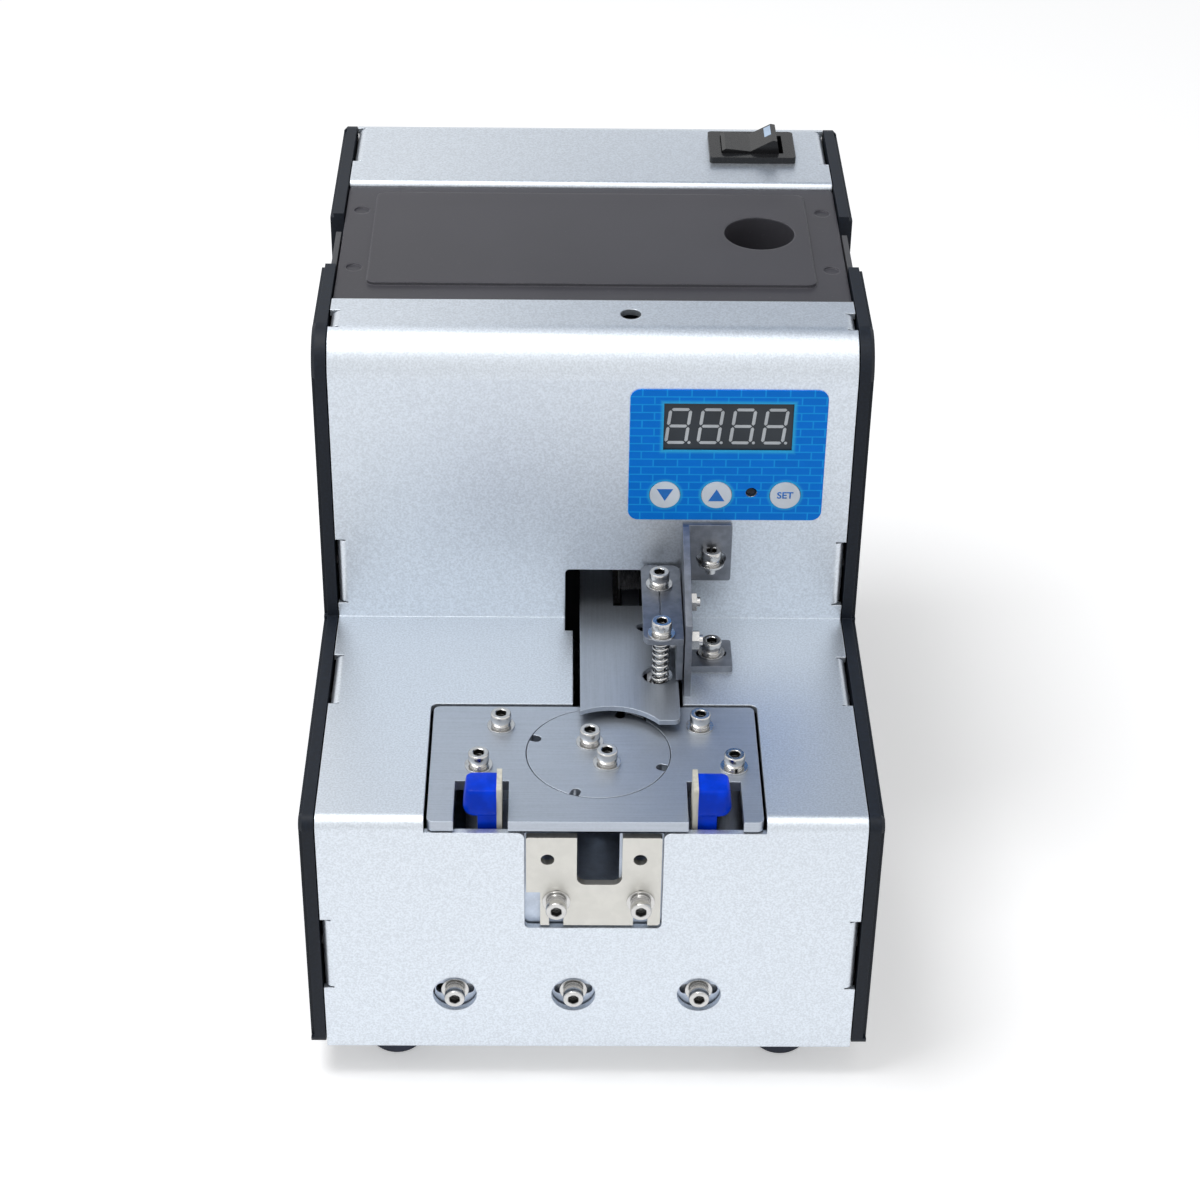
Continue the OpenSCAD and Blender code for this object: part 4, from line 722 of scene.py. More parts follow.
class Graph(Nodes):
    """A geometry node tree with named inputs, ending in Realize and Set Material."""

    KINDS = {float: "NodeSocketFloat", int: "NodeSocketInt"}

    def __init__(self, name, **inputs):
        tree = bpy.data.node_groups.new(name, "GeometryNodeTree")
        super().__init__(tree)
        face = tree.interface
        face.new_socket("Geometry", in_out="INPUT", socket_type="NodeSocketGeometry")
        face.new_socket("Geometry", in_out="OUTPUT", socket_type="NodeSocketGeometry")
        for label, default in inputs.items():
            kind = self.KINDS.get(type(default), "NodeSocketObject")
            socket = face.new_socket(self.title(label), in_out="INPUT", socket_type=kind)
            if default is not None:
                socket.default_value = default
        face.new_socket("Material", in_out="INPUT", socket_type="NodeSocketMaterial")
        self.source = tree.nodes.new("NodeGroupInput")

    @staticmethod
    def title(label):
        return label.replace("_", " ").title()

    def given(self, label):
        return Wire(self, self.source.outputs[self.title(label)])

    def vector(self, x, y, z):
        return self.add("ShaderNodeCombineXYZ", None, {0: x, 1: y, 2: z})

    def attribute(self, name, kind):
        return self.add("GeometryNodeInputNamedAttribute", {"data_type": kind}, {"Name": name})

    def join(self, *parts):
        node = self.tree.nodes.new("GeometryNodeJoinGeometry")
        for part in parts:
            self.tree.links.new(part.socket, node.inputs[0])
        return Wire(self, node.outputs[0])

    def end(self, geometry):
        real = self.add("GeometryNodeRealizeInstances", None, {"Geometry": geometry})
        painted = self.add("GeometryNodeSetMaterial", None,
                           {"Geometry": real, "Material": self.given("material")})
        sink = self.tree.nodes.new("NodeGroupOutput")
        self.tree.links.new(painted.socket, sink.inputs[0])

    def grow(self, name, mesh, **values):
        """Runs the graph on a mesh and returns the result as a plain mesh."""
        seed = bpy.data.objects.new(name + "_seed", mesh)
        bpy.context.collection.objects.link(seed)
        modifier = seed.modifiers.new("grow", "NODES")
        modifier.node_group = self.tree
        titles = {self.title(label): value for label, value in values.items()}
        for item in self.tree.interface.items_tree:
            if item.in_out == "INPUT" and item.name in titles:
                modifier[item.identifier] = titles[item.name]
        seed.update_tag()
        depsgraph = bpy.context.evaluated_depsgraph_get()
        depsgraph.update()
        result = bpy.data.meshes.new_from_object(seed.evaluated_get(depsgraph), depsgraph=depsgraph)
        result.name = name
        bpy.data.objects.remove(seed)
        if not result.polygons:
            raise RuntimeError(f"{name}: the graph made nothing")
        return result


def cap_screw_graph():
    """Head, spring washer, flat washer and shank on every point, along its axis."""
    g = Graph("cap_screws", head=None, head_diameter=4.5 * MM, head_height=2.5 * MM,
              washer_diameter=6 * MM, washer_thickness=0.5 * MM, spring_washer=0.7 * MM,
              shank_diameter=2.4 * MM, seed=1)
    head_d = g.given("head_diameter")
    washer_t = g.given("washer_thickness")
    spring_t = g.given("spring_washer")
    unit_head = g.add("GeometryNodeObjectInfo", None, {"Object": g.given("head")}, output=4)
    head = g.add("GeometryNodeTransform", None,
                 {"Geometry": unit_head, "Translation": g.vector(0.0, 0.0, washer_t + spring_t),
                  "Scale": g.vector(head_d, head_d, g.given("head_height"))})
    washer = g.add("GeometryNodeMeshCylinder", None,
                   {"Vertices": 40, "Radius": g.given("washer_diameter") * 0.5,
                    "Depth": washer_t})
    washer = g.add("GeometryNodeTransform", None,
                   {"Geometry": washer, "Translation": g.vector(0.0, 0.0, washer_t * 0.5)})
    arc = g.add("GeometryNodeCurveArc", None,
                {"Resolution": 30, "Radius": head_d * 0.385, "Start Angle": 0.3,
                 "Sweep Angle": 6.0})
    along = g.add("GeometryNodeSplineParameter")
    arc = g.add("GeometryNodeSetPosition", None,
                {"Geometry": arc,
                 "Offset": g.vector(0.0, 0.0, washer_t + spring_t * 0.5 + (along - 0.5) * 0.12 * MM)})
    section = g.add("GeometryNodeCurvePrimitiveQuadrilateral", {"mode": "RECTANGLE"},
                    {"Width": spring_t * 0.82, "Height": head_d * 0.19})
    split = g.add("GeometryNodeCurveToMesh", None,
                  {"Curve": arc, "Profile Curve": section, "Fill Caps": True})
    axis = g.attribute("axis", "FLOAT_VECTOR")
    upright = g.add("FunctionNodeAlignRotationToVector", {"axis": "Z"}, {"Vector": axis})
    spin = g.add("FunctionNodeRandomValue", {"data_type": "FLOAT"},
                 {2: 0.0, 3: 6.283, "Seed": g.given("seed")}, output=1)
    about = g.add("FunctionNodeAxisAngleToRotation", None, {"Axis": (0, 0, 1), "Angle": spin})
    turned = g.add("FunctionNodeRotateRotation", {"rotation_space": "LOCAL"},
                   {"Rotation": upright, "Rotate By": about})
    points = g.given("geometry")
    screws = g.add("GeometryNodeInstanceOnPoints", None,
                   {"Points": points, "Instance": g.join(head, washer, split), "Rotation": turned})
    shank = g.add("GeometryNodeMeshCylinder", None, {"Vertices": 24, "Radius": 0.5, "Depth": 1.0})
    shank = g.add("GeometryNodeTransform", None,
                  {"Geometry": shank, "Translation": (0.0, 0.0, -0.5)})
    width = g.given("shank_diameter")
    shanks = g.add("GeometryNodeInstanceOnPoints", None,
                   {"Points": points, "Instance": shank, "Rotation": turned,
                    "Scale": g.vector(width, width, g.attribute("shank", "FLOAT"))})
    g.end(g.join(screws, shanks))
    return g


def coil_graph():
    """Round wire wound along Z with closed end turns."""
    g = Graph("presser_coil", coil_radius=1.75 * MM, wire_radius=0.25 * MM, turns=9.0,
              height=10 * MM)
    radius = g.given("coil_radius")
    wire = g.given("wire_radius")
    line = g.add("GeometryNodeCurvePrimitiveLine", None, {"Start": (0, 0, 0), "End": (0, 0, 1)})
    line = g.add("GeometryNodeResampleCurve", None, {"Curve": line, "Count": 260})
    along = g.add("GeometryNodeSplineParameter")
    angle = along * g.given("turns") * (2 * math.pi)
    cosine = g.add("ShaderNodeMath", {"operation": "COSINE"}, {0: angle})
    sine = g.add("ShaderNodeMath", {"operation": "SINE"}, {0: angle})
    rise = along.smooth(0.0, 1.0) * 0.35 + along * 0.65
    height = wire + rise * (g.given("height") - wire * 2)
    line = g.add("GeometryNodeSetPosition", None,
                 {"Geometry": line, "Position": g.vector(cosine * radius, sine * radius, height)})
    circle = g.add("GeometryNodeCurvePrimitiveCircle", {"mode": "RADIUS"},
                   {"Resolution": 10, "Radius": wire})
    g.end(g.add("GeometryNodeCurveToMesh", None,
                {"Curve": line, "Profile Curve": circle, "Fill Caps": True}))
    return g


def bristle_graph():
    """Tapered bristles on the round side of a hub that lies along X."""
    g = Graph("bristles", length=6 * MM, radius=0.11 * MM, density=7.0e6, seed=3)
    hub = g.given("geometry")
    normal = g.add("ShaderNodeSeparateXYZ", None, {0: g.add("GeometryNodeInputNormal")})
    points = g.add("GeometryNodeDistributePointsOnFaces", {"distribute_method": "RANDOM"},
                   {"Mesh": hub, "Selection": abs(normal) < 0.5, "Density": g.given("density"),
                    "Seed": g.given("seed")})
    rotation = points.output(2)
    lean = g.add("FunctionNodeRandomValue", {"data_type": "FLOAT_VECTOR"},
                 {0: (-0.10, -0.10, -3.1), 1: (0.10, 0.10, 3.1), "Seed": g.given("seed")})
    lean = g.add("FunctionNodeEulerToRotation", None, {0: lean})
    turned = g.add("FunctionNodeRotateRotation", {"rotation_space": "LOCAL"},
                   {"Rotation": rotation, "Rotate By": lean})
    hair = g.add("GeometryNodeMeshCone", None,
                 {"Vertices": 4, "Radius Top": g.given("radius") * 0.55,
                  "Radius Bottom": g.given("radius"), "Depth": g.given("length")})
    hairs = g.add("GeometryNodeInstanceOnPoints", None,
                  {"Points": points, "Instance": hair, "Rotation": turned})
    g.end(g.join(hub, hairs))
    return g


def row_graph():
    """Copies of an object in a row along X."""
    g = Graph("row", piece=None, count=4, pitch=7 * MM)
    line = g.add("GeometryNodeMeshLine", {"mode": "OFFSET"},
                 {"Count": g.given("count"), "Offset": g.vector(g.given("pitch"), 0.0, 0.0)})
    piece = g.add("GeometryNodeObjectInfo", None, {"Object": g.given("piece")}, output=4)
    g.end(g.add("GeometryNodeInstanceOnPoints", None, {"Points": line, "Instance": piece}))
    return g


# ---- Places that several operators use ----

LABEL_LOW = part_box("control_label")[0]
DISPLAY_LOW, DISPLAY_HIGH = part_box("display_module")
WINDOW = (DISPLAY_LOW.x + 0.7 * MM, DISPLAY_HIGH.x - 0.7 * MM,
          DISPLAY_LOW.z + 0.9 * MM, DISPLAY_HIGH.z - 0.9 * MM)


def button_place(node):
    """Centre of a button's cap in its front plane, and the cap's radius."""
    low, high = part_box(node)
    centre = (low + high) / 2
    return Vector((centre.x, low.y, centre.z)), (high.x - low.x) / 2 - 0.6 * MM


BUTTONS = [button_place(node) for node in ("button_down", "button_up", "button_set")]


def dress(*nodes, finish=None):
    """Gives CAD nodes the finish of their slot."""
    for node in nodes:
        mesh = NODES[node].data
        mesh.materials.clear()
        mesh.materials.append(finish or FINISHES[SLOT_OF[node]])


def text_mesh(words, size, name, bold=0.0):
    """Lettering as a flat mesh in the XY plane, centred on the origin."""
    curve = bpy.data.curves.new(name, "FONT")
    curve.body = words
    curve.size = size
    curve.offset = bold
    curve.align_x = "CENTER"
    curve.align_y = "CENTER"
    curve.resolution_u = 4
    holder = bpy.data.objects.new(name, curve)
    bpy.context.collection.objects.link(holder)
    depsgraph = bpy.context.evaluated_depsgraph_get()
    mesh = bpy.data.meshes.new_from_object(holder.evaluated_get(depsgraph))
    bpy.data.objects.remove(holder)
    return mesh


def raised_print(mesh, place, up, thickness=0.03 * MM):
    """Turns a flat mesh into a thin print at place, its face looking along up."""
    bm = bmesh.new()
    bm.from_mesh(mesh)
    bmesh.ops.remove_doubles(bm, verts=bm.verts, dist=1e-7)
    for face in bm.faces:
        if face.normal.z < 0:
            face.normal_flip()
    grown = bmesh.ops.extrude_face_region(bm, geom=bm.faces[:])
    moved = [item for item in grown["geom"] if isinstance(item, bmesh.types.BMVert)]
    bmesh.ops.translate(bm, verts=moved, vec=(0, 0, thickness))
    front = Matrix.Rotation(math.pi / 2, 4, "X") if up == "front" else Matrix()
    bmesh.ops.transform(bm, matrix=Matrix.Translation(place) @ front, verts=bm.verts)
    return finished_mesh(bm, mesh.name)


# ---- Operators ----


class FeederOperator:
    """What the feeder's operators share."""

    bl_options = {"REGISTER", "UNDO"}

    def execute(self, context):
        self.make(context.scene.feeder_sizes, context.scene.feeder_colours, context)
        return {"FINISHED"}


class FEEDER_OT_finishes(FeederOperator, bpy.types.Operator):
    """Makes the finish of every material slot"""

    bl_idname = "feeder.finishes"
    bl_label = "Finishes"

    def make(self, sizes, colours, context):
        make_finishes(colours, sizes)


class FEEDER_OT_housing(FeederOperator, bpy.types.Operator):
    """Dresses the side plates, covers, base plate, feet and side screws"""

    bl_idname = "feeder.housing"
    bl_label = "Housing"

    def make(self, sizes, colours, context):
        dress("side_plate_left", "side_plate_right", "front_cover", "rear_cover",
              "base_plate", "rubber_feet", "foot_screws", "side_screws", "power_socket",
              "main_board")


class FEEDER_OT_hopper(FeederOperator, bpy.types.Operator):
    """Dresses the lid, the hopper and the lifter, and adds the lid's inner ribs"""

    bl_idname = "feeder.hopper"
    bl_label = "Hopper and lid"

    def make(self, sizes, colours, context):
        dress("hopper_lid", "hopper_bin", "lifter", "lifter_roller", "guide_rods",
              "rod_clamp", "cam", "cam_shaft", "motor_bracket", "gear_motor")
        low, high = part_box("hopper_bin")
        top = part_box("hopper_lid")[1].z - 3.25 * MM
        bottom = top - 1.6 * MM
        bm = bmesh.new()
        rib = 0.5 * MM
        x = -21.4 * MM
        y = 32.9 * MM
        end_x = 22.7 * MM
        end_gap = 6 * MM
        y0 = low.y + end_gap
        y1 = high.y - end_gap
        prism(bm, [(x - rib, y0), (x + rib, y0), (x + rib, y1), (x - rib, y1)], bottom, top)
        prism(bm, [(x + rib, y - rib), (end_x, y - rib), (end_x, y + rib),
                   (x + rib, y + rib)], bottom, top)
        show("lid_ribs", finished_mesh(bm, "lid_ribs"), "hopper_lid",
             finish=FINISHES["dark_moulding"])


class FEEDER_OT_rail(FeederOperator, bpy.types.Operator):
    """Dresses the rails, their vibrating drive and the rail cover"""

    bl_idname = "feeder.rail"
    bl_label = "Rail"

    def make(self, sizes, colours, context):
        dress("rail_left", "rail_right", "rail_block", "leaf_springs", "spring_base",
              "vibrator_coil", "rail_pedestal", "cover_support", "brush_motor",
              "brush_bracket")
        dress("rail_cover", finish=ground_steel(shade(colours.steel, 0.92),
                                                "rail_cover_steel", "y"))


class FEEDER_OT_brackets(FeederOperator, bpy.types.Operator):
    """Dresses the plated brackets, their clamp bolts and the inner panel"""

    bl_idname = "feeder.brackets"
    bl_label = "Brackets"

    def make(self, sizes, colours, context):
        dress("presser_bolts", "guide_bracket", "table_bracket", "front_angle")
        # The bridge and presser get a darker copy of the bracket metal: painted shade.
        shaded_bracket_finish = plain_metal(colours.shaded_bracket, "bare_steel", 0.3, (500, 500, 500))
        dress("bridge_bracket", "presser_bracket", finish=shaded_bracket_finish)


class FEEDER_OT_turntable(FeederOperator, bpy.types.Operator):
    """Dresses the turntable plate, its disc, hub, motor and posts"""

    bl_idname = "feeder.turntable"
    bl_label = "Turntable"

    def make(self, sizes, colours, context):
        dress("turntable_plate", "turntable_disc", "disc_hub", "disc_motor", "table_posts")


class FEEDER_OT_cap_screws(FeederOperator, bpy.types.Operator):
    """Makes the cap screws with their spring washers and flat washers"""

    bl_idname = "feeder.cap_screws"
    bl_label = "Cap screws"

    SETS = (("table_screws", "z"), ("disc_screws", "z"), ("presser_screws", "z"),
            ("bridge_screws", "both"), ("adjust_screws", "front"), ("guide_screws", "front"))

    def make(self, sizes, colours, context):
        head = bpy.data.objects.new("cap_head", cap_head_mesh())
        context.collection.objects.link(head)
        graph = cap_screw_graph()
        stack = sizes.washer_thickness + sizes.spring_washer + sizes.head_height
        for node, facing in self.SETS:
            seats = []
            for low, high in islands(node):
                centre = (low + high) / 2
                tall = facing == "z" or (facing == "both" and high.z - low.z < 6.1 * MM)
                if tall:
                    seats.append(((centre.x, centre.y, high.z - stack), (0, 0, 1),
                                  high.z - low.z - stack))
                else:
                    seats.append(((centre.x, low.y + stack, centre.z), (0, -1, 0),
                                  high.y - low.y - stack))
            mesh = bpy.data.meshes.new(node + "_seats")
            mesh.from_pydata([seat[0] for seat in seats], [], [])
            mesh.attributes.new("axis", "FLOAT_VECTOR", "POINT")
            mesh.attributes.new("shank", "FLOAT", "POINT")
            for i, seat in enumerate(seats):
                mesh.attributes["axis"].data[i].vector = seat[1]
                mesh.attributes["shank"].data[i].value = seat[2]
            grown = graph.grow(
                node, mesh, head=head, head_diameter=sizes.head_diameter,
                head_height=sizes.head_height, washer_diameter=sizes.washer_diameter,
                washer_thickness=sizes.washer_thickness, spring_washer=sizes.spring_washer,
                shank_diameter=sizes.shank_diameter, seed=sizes.seed,
                material=FINISHES["bright_screw"])
            show("cap_" + node, grown, node, replaces=(node,))
        bpy.data.objects.remove(head)


class FEEDER_OT_presser_coil(FeederOperator, bpy.types.Operator):
    """Winds the presser spring"""

    bl_idname = "feeder.presser_coil"
    bl_label = "Presser spring"

    def make(self, sizes, colours, context):
        low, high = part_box("presser_spring")
        centre = (low + high) / 2
        seed = bpy.data.meshes.new("coil_seed")
        mesh = coil_graph().grow(
            "presser_coil", seed, coil_radius=(high.x - low.x) / 2 - sizes.spring_wire,
            wire_radius=sizes.spring_wire, turns=sizes.spring_turns, height=high.z - low.z,
            material=FINISHES["bright_screw"])
        mesh.transform(Matrix.Translation((centre.x, centre.y, low.z)))
        mesh.polygons.foreach_set("use_smooth", [True] * len(mesh.polygons))
        show("presser_coil", mesh, "presser_spring", replaces=("presser_spring",))


class FEEDER_OT_brush(FeederOperator, bpy.types.Operator):
    """Makes the bristles, hub and shaft of the brush over the rail"""

    bl_idname = "feeder.brush"
    bl_label = "Brush"

    def make(self, sizes, colours, context):
        low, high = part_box("brush_wheel")
        radius = (high.y - low.y) / 2
        centre = (low + high) / 2
        hub = 3.4 * MM
        width = 5.6 * MM
        bm = bmesh.new()
        lathe(bm, [(hub - 0.3 * MM, 0), (hub, 0.3 * MM), (hub, width - 0.3 * MM),
                   (hub - 0.3 * MM, width)], 32)
        bmesh.ops.transform(bm, matrix=Matrix.Translation((low.x, centre.y, centre.z))
                            @ Matrix.Rotation(math.pi / 2, 4, "Y"), verts=bm.verts)
        seed = finished_mesh(bm, "brush_hub", 30)
        mesh = bristle_graph().grow(
            "brush_hair", seed, length=radius - hub - 0.15 * MM,
            radius=sizes.bristle_radius, density=sizes.bristle_density, seed=sizes.seed,
            material=FINISHES["brush_hair"])
        show("brush_hair", mesh, "brush_wheel", replaces=("brush_wheel",))
        bm = bmesh.new()
        lathe(bm, [(1.3 * MM, 0), (1.5 * MM, 0.2 * MM), (1.5 * MM, high.x - low.x - 0.2 * MM),
                   (1.3 * MM, high.x - low.x)], 24)
        bmesh.ops.transform(bm, matrix=Matrix.Translation((low.x, centre.y, centre.z))
                            @ Matrix.Rotation(math.pi / 2, 4, "Y"), verts=bm.verts)
        show("brush_shaft", finished_mesh(bm, "brush_shaft", 30), "brush_wheel",
             finish=FINISHES["ground_steel"], slot="ground_steel")


class FEEDER_OT_sensors(FeederOperator, bpy.types.Operator):
    """Makes the two sensor heads in their blue sleeves and dresses the strips"""

    bl_idname = "feeder.sensors"
    bl_label = "Sensor heads"

    def outline(self, side, low, high, inset, corner):
        """Plan of a sleeve: square beside its strip, round on the outer side."""
        inner = high.x if side < 0 else low.x
        outer = (low.x if side < 0 else high.x) - side * inset
        points = []
        y0 = low.y + inset
        y1 = high.y - inset
        for k in range(9):
            a = k * math.pi / 16
            points.append((outer - side * corner * (1 - math.cos(a)),
                           y1 - corner + corner * math.sin(a)))
        points.append((inner, y1))
        for k in range(1, 8):
            points.append((inner, y1 + (y0 - y1) * k / 8))
        points.append((inner, y0))
        for k in range(8, -1, -1):
            a = k * math.pi / 16
            points.append((outer - side * corner * (1 - math.cos(a)),
                           y0 + corner - corner * math.sin(a)))
        return points

    def make(self, sizes, colours, context):
        dress("sensor_brackets")
        bm = bmesh.new()
        wobble = random.Random(sizes.seed)
        for low, high in islands("sensor_heads"):
            side = -1 if low.x < 0 else 1
            body_low = high.z - 6.6 * MM
            stem = 4 * MM
            inner = high.x if side < 0 else low.x
            prism(bm, [(inner, low.y + 0.6 * MM), (inner + side * stem, low.y + 0.6 * MM),
                       (inner + side * stem, high.y - 0.6 * MM), (inner, high.y - 0.6 * MM)]
                  [::-side], low.z, body_low + 0.2 * MM)
            levels = [(0, 0.9, 2.2), (0.5, 0.25, 2.4), (1.6, 0.0, 2.4), (3.0, 0.12, 2.2),
                      (4.4, 0.3, 1.7), (5.7, 0.5, 1.5), (6.3, 0.65, 1.4), (6.6, 1.0, 1.2)]
            rings = []
            for rise, inset, corner in levels:
                ring = []
                for x, y in self.outline(side, low, high, inset * MM, corner * MM):
                    shift = wobble.uniform(-0.05, 0.05) * MM
                    ring.append(bm.verts.new((x - side * abs(shift) * (x != inner), y,
                                              body_low + rise * MM + shift * (0 < rise < 6.3))))
                rings.append(ring)
            count = len(rings[0])
            for a, b in zip(rings, rings[1:]):
                for i in range(count):
                    j = (i + 1) % count
                    bm.faces.new((a[i], a[j], b[j], b[i]))
            bm.faces.new(rings[0])
            bm.faces.new(rings[-1])
        mesh = finished_mesh(bm, "sensor_sleeves", 50)
        show("sensor_sleeves", mesh, "sensor_heads", finish=FINISHES["sensor_blue"],
             replaces=("sensor_heads",))


class FEEDER_OT_panel(FeederOperator, bpy.types.Operator):
    """Dresses label, display and buttons, and adds the digits and the marks"""

    bl_idname = "feeder.panel"
    bl_label = "Control panel"

    def digit_mesh(self, height):
        """Unlit seven-segment digit with its point, slanted, one sheet thick."""
        half = height / 2
        wide = height * 0.56
        bar = height * 0.04
        gap = height * 0.022
        lean = 0.11
        bm = bmesh.new()

        def segment(a, b):
            ax, az = a
            bx, bz = b
            length = math.hypot(bx - ax, bz - az)
            ux, uz = (bx - ax) / length, (bz - az) / length
            nx, nz = -uz, ux
            start, end = gap, length - gap
            outline = []
            for along, off in ((start, 0), (start + bar, bar), (end - bar, bar), (end, 0),
                               (end - bar, -bar), (start + bar, -bar)):
                x = ax + ux * along + nx * off
                z = az + uz * along + nz * off
                outline.append((x + lean * z, z))
            prism(bm, outline, -0.05 * MM, 0.03 * MM, "y")

        w = wide / 2
        for z in (-half + bar, 0, half - bar):
            segment((-w + bar, z), (w - bar, z))
        for x in (-w + bar, w - bar):
            segment((x, -half + bar), (x, 0))
            segment((x, 0), (x, half - bar))
        point = [(w + 1.15 * bar + bar * math.cos(a) - lean * half,
                  -half + bar + bar * math.sin(a))
                 for a in [k * math.pi / 5 for k in range(10)]]
        prism(bm, point, -0.05 * MM, 0.03 * MM, "y")
        return finished_mesh(bm, "digit")

    def status_lamp(self):
        """Dark lens of the lamp between the buttons, on the board behind the label."""
        x = (BUTTONS[1][0].x + BUTTONS[2][0].x) / 2
        z = (BUTTONS[1][0].z + BUTTONS[2][0].z) / 2
        front = LABEL_LOW.y + 0.5 * MM
        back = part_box("control_board")[0].y + 0.2 * MM
        bm = bmesh.new()
        lathe(bm, [(1.5 * MM, 0), (1.5 * MM, back - front - 0.8 * MM),
                   (1.3 * MM, back - front - 0.3 * MM), (0.5 * MM, back - front)], 28)
        bmesh.ops.transform(bm, matrix=Matrix.Translation((x, back, z))
                            @ Matrix.Rotation(math.pi / 2, 4, "X"), verts=bm.verts)
        show("status_lamp", finished_mesh(bm, "status_lamp", 35), "control_board",
             finish=glossy_face((0.012, 0.016, 0.022), "lamp_lens", 0.1), slot="display")

    def make(self, sizes, colours, context):
        dress("control_label", "display_module", "control_board", "button_down",
              "button_up", "button_set")
        digit = bpy.data.objects.new("digit", self.digit_mesh(sizes.digit_height))
        context.collection.objects.link(digit)
        mesh = row_graph().grow("display_digits", bpy.data.meshes.new("row_seed"), piece=digit,
                                count=4, pitch=sizes.digit_pitch,
                                material=glossy_face(colours.segment, "unlit_segment", 0.35))
        bpy.data.objects.remove(digit)
        x = (WINDOW[0] + WINDOW[1]) / 2 - 1.5 * sizes.digit_pitch - 0.35 * MM
        z = (WINDOW[2] + WINDOW[3]) / 2
        mesh.transform(Matrix.Translation((x, DISPLAY_LOW.y + 0.02 * MM, z)))
        show("display_digits", mesh, "display_module")
        self.status_lamp()
        ink = flat_ink(colours.button_mark, "button_ink")
        for node, (centre, radius), turn in (("button_down", BUTTONS[0], -1),
                                             ("button_up", BUTTONS[1], 1)):
            bm = bmesh.new()
            w = radius * 0.54
            h = radius * 0.46 * turn
            outline = [(centre.x - w, centre.z - h), (centre.x + w, centre.z - h),
                       (centre.x, centre.z + h)]
            prism(bm, outline, centre.y - 0.03 * MM, centre.y + 0.02 * MM, "y")
            show(node.replace("button", "arrow"), finished_mesh(bm, "arrow"), node,
                 finish=ink, slot="label")
        centre = BUTTONS[2][0]
        mesh = raised_print(text_mesh("SET", 2.35 * MM, "set_mark", 0.05 * MM), centre, "front")
        show("set_mark", mesh, "button_set", finish=ink, slot="label")


class FEEDER_OT_switch(FeederOperator, bpy.types.Operator):
    """Dresses the power switch and adds its mark and the words beside it"""

    bl_idname = "feeder.switch"
    bl_label = "Power switch"

    def rocker_mark(self):
        """Pale window on the raised side of the rocker, laid on its slope."""
        mesh = NODES["power_rocker"].data
        slope = max((face for face in mesh.polygons
                     if face.normal.z > 0.3 and face.normal.x < -0.2 and face.center.z > 0),
                    key=lambda face: face.area * (1 + face.center.z))
        across = Vector((0, 1, 0))
        uphill = across.cross(slope.normal).normalized()
        if uphill.z < 0:
            uphill.negate()
        half_length, half_width, sunk, proud = 0.9 * MM, 2.6 * MM, 0.02 * MM, 0.03 * MM
        centre = slope.center + uphill * half_length
        corners = [centre + uphill * a * half_length + across * b * half_width
                   for a, b in ((-1, -1), (1, -1), (1, 1), (-1, 1))]
        bm = bmesh.new()
        lower = [bm.verts.new(corner - slope.normal * sunk) for corner in corners]
        upper = [bm.verts.new(corner + slope.normal * proud) for corner in corners]
        bm.faces.new(lower)
        bm.faces.new(upper)
        for i in range(4):
            j = (i + 1) % 4
            bm.faces.new((lower[i], lower[j], upper[j], upper[i]))
        show("rocker_mark", finished_mesh(bm, "rocker_mark"), "power_rocker",
             finish=glossy_face((0.40, 0.52, 0.68), "rocker_window", 0.3), slot="display")

    def make(self, sizes, colours, context):
        dress("power_switch", "power_rocker")
        low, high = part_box("power_switch")
        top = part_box("rear_cover")[1].z
        self.rocker_mark()
        ink = flat_ink((0.05, 0.055, 0.06), "printed_words")
        y = high.y + 1.5 * MM
        for word, x in (("OFF", low.x + 4.6 * MM), ("ON", high.x - 4.4 * MM)):
            mesh = raised_print(text_mesh(word, 2.3 * MM, "word_" + word.lower(), 0.03 * MM),
                                Vector((x, y, top - 0.01 * MM)), "top")
            show("word_" + word.lower(), mesh, "rear_cover", finish=ink, slot="switch_black")


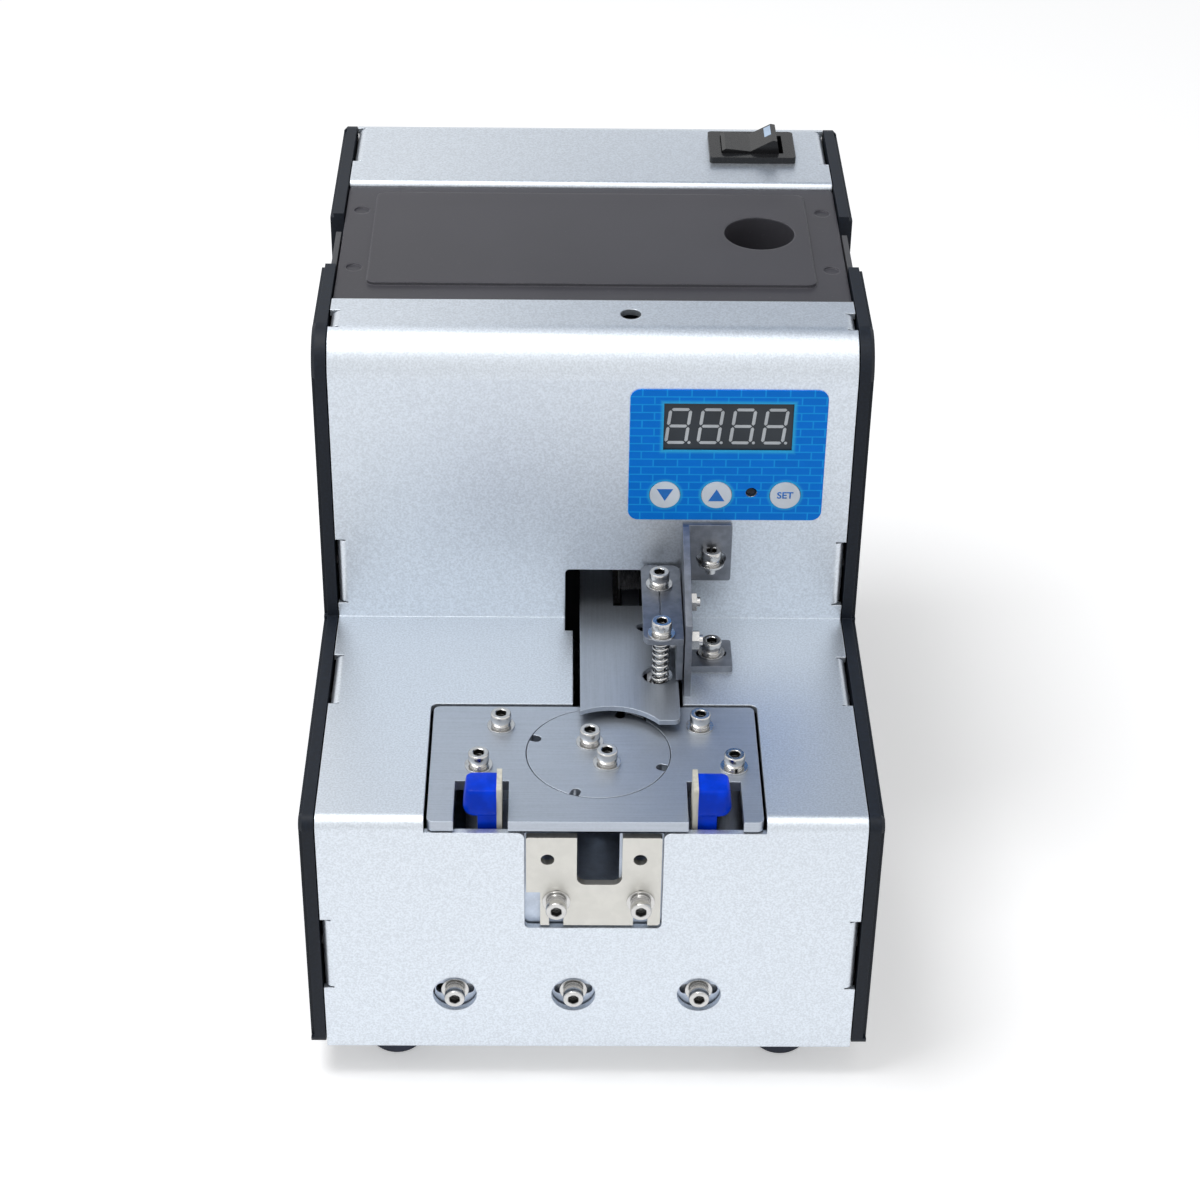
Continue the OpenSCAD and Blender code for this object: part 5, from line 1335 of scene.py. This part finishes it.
class FEEDER_OT_stage(FeederOperator, bpy.types.Operator):
    """Sets the floor, the lamps, the surround and the camera"""

    bl_idname = "feeder.stage"
    bl_label = "Stage"

    def looked_at(self, nodes):
        """1 for a ray from the camera, off a mirror or through glass."""
        path = nodes.add("ShaderNodeLightPath")
        return (path + path.output(3) + path.output(6)).at_most(1.0)

    def lamp(self, context, name, place, target, size, power):
        data = bpy.data.lights.new(name, "AREA")
        data.shape = "RECTANGLE"
        data.size, data.size_y = size
        data.energy = power
        lamp = bpy.data.objects.new(name, data)
        context.collection.objects.link(lamp)
        lamp.location = place
        aim = Vector(target) - Vector(place)
        lamp.rotation_euler = aim.to_track_quat("-Z", "Y").to_euler()

    def board(self, name, corners, stage):
        """A dark board that only the metal's reflections see."""
        mesh = bpy.data.meshes.new(name)
        mesh.from_pydata(corners, [], [tuple(range(len(corners)))])
        board = bpy.data.objects.new(name, mesh)
        bpy.context.collection.objects.link(board)
        paint = bpy.data.materials.new(name)
        paint.use_nodes = True
        nodes = Nodes(paint.node_tree)
        glow = nodes.add("ShaderNodeEmission", None,
                         {"Color": stage.board, "Strength": 0.75})
        nodes.add("ShaderNodeOutputMaterial", None, {"Surface": glow})
        mesh.materials.append(paint)
        board.visible_camera = False
        board.visible_diffuse = False
        board.visible_transmission = False
        board.visible_shadow = False

    def make(self, sizes, colours, context):
        stage = context.scene.feeder_stage
        bm = bmesh.new()
        bmesh.ops.create_grid(bm, x_segments=1, y_segments=1, size=6)
        floor = bpy.data.objects.new("floor", finished_mesh(bm, "floor"))
        context.collection.objects.link(floor)
        paint = bpy.data.materials.new("pale_floor")
        paint.use_nodes = True
        nodes = Nodes(paint.node_tree)
        matt = nodes.add("ShaderNodeBsdfDiffuse", None, {"Color": stage.floor})
        lift = nodes.add("ShaderNodeEmission", None,
                         {"Color": (1, 1, 1), "Strength": self.looked_at(nodes) * stage.floor_lift})
        both = nodes.add("ShaderNodeAddShader", None, {0: matt, 1: lift})
        nodes.add("ShaderNodeOutputMaterial", None, {"Surface": both})
        floor.data.materials.append(paint)

        world = bpy.data.worlds.new("surround")
        world.use_nodes = True
        context.scene.world = world
        nodes = Nodes(world.node_tree)
        strength = self.looked_at(nodes) * (1 - stage.surround) + stage.surround
        light = nodes.add("ShaderNodeBackground", None, {"Color": (1, 1, 1), "Strength": strength})
        nodes.add("ShaderNodeOutputWorld", None, {"Surface": light})

        self.lamp(context, "key_lamp", (-0.32, -0.10, 1.0), (0, 0, 0.05), (0.45, 0.45),
                  stage.key_power)
        self.lamp(context, "fill_lamp", (0.1, -0.5, 1.2), (0, 0, 0.05), (0.9, 0.6),
                  stage.fill_power)
        self.board("dark_board", [(-0.03, 0.42, 0.35), (0.9, 0.30, 0.35), (0.9, 0.30, 1.3),
                                  (-0.03, 0.42, 1.3)], stage)
        self.camera(context)
        context.scene.view_settings.view_transform = "Standard"

    def camera(self, context):
        """Looks down at the front, a little from the left."""
        pitch, yaw, roll = 0.6036, -0.0176, 0.0154
        place = Vector((-0.006762, -0.529365, 0.430432))
        ahead = Vector((-math.sin(yaw) * math.cos(pitch), math.cos(yaw) * math.cos(pitch),
                        -math.sin(pitch)))
        right = Vector((math.cos(yaw), math.sin(yaw), 0))
        up = right.cross(ahead)
        right, up = (right * math.cos(roll) + up * math.sin(roll),
                     up * math.cos(roll) - right * math.sin(roll))
        data = bpy.data.cameras.new("camera")
        data.lens = 80.86
        data.sensor_width = 36
        data.clip_start = 0.01
        camera = bpy.data.objects.new("camera", data)
        context.collection.objects.link(camera)
        camera.matrix_world = Matrix((
            (right.x, up.x, -ahead.x, place.x), (right.y, up.y, -ahead.y, place.y),
            (right.z, up.z, -ahead.z, place.z), (0, 0, 0, 1)))
        context.scene.camera = camera


OPERATORS = (
    FEEDER_OT_stage, FEEDER_OT_finishes, FEEDER_OT_housing, FEEDER_OT_hopper, FEEDER_OT_rail,
    FEEDER_OT_brackets, FEEDER_OT_turntable, FEEDER_OT_cap_screws, FEEDER_OT_presser_coil,
    FEEDER_OT_brush, FEEDER_OT_sensors, FEEDER_OT_panel, FEEDER_OT_switch,
)


class FEEDER_PT_panel(bpy.types.Panel):
    """Sizes, colours and steps of the feeder"""

    bl_idname = "FEEDER_PT_panel"
    bl_label = "Screw feeder"
    bl_space_type = "VIEW_3D"
    bl_region_type = "UI"
    bl_category = "Feeder"

    def draw(self, context):
        layout = self.layout
        for group in (context.scene.feeder_sizes, context.scene.feeder_colours,
                      context.scene.feeder_stage):
            box = layout.box()
            for name in group.__annotations__:
                box.prop(group, name)
        for operator in OPERATORS:
            layout.operator(operator.bl_idname)


CLASSES = (FeederSizes, FeederColours, FeederStage, *OPERATORS, FEEDER_PT_panel)


def register():
    for cls in CLASSES:
        bpy.utils.register_class(cls)
    bpy.types.Scene.feeder_sizes = PointerProperty(type=FeederSizes)
    bpy.types.Scene.feeder_colours = PointerProperty(type=FeederColours)
    bpy.types.Scene.feeder_stage = PointerProperty(type=FeederStage)


def unregister():
    del bpy.types.Scene.feeder_sizes
    del bpy.types.Scene.feeder_colours
    del bpy.types.Scene.feeder_stage
    for cls in reversed(CLASSES):
        bpy.utils.unregister_class(cls)


def main():
    register()
    for operator in OPERATORS:
        group, name = operator.bl_idname.split(".")
        getattr(getattr(bpy.ops, group), name)()


if __name__ == "__main__":
    main()
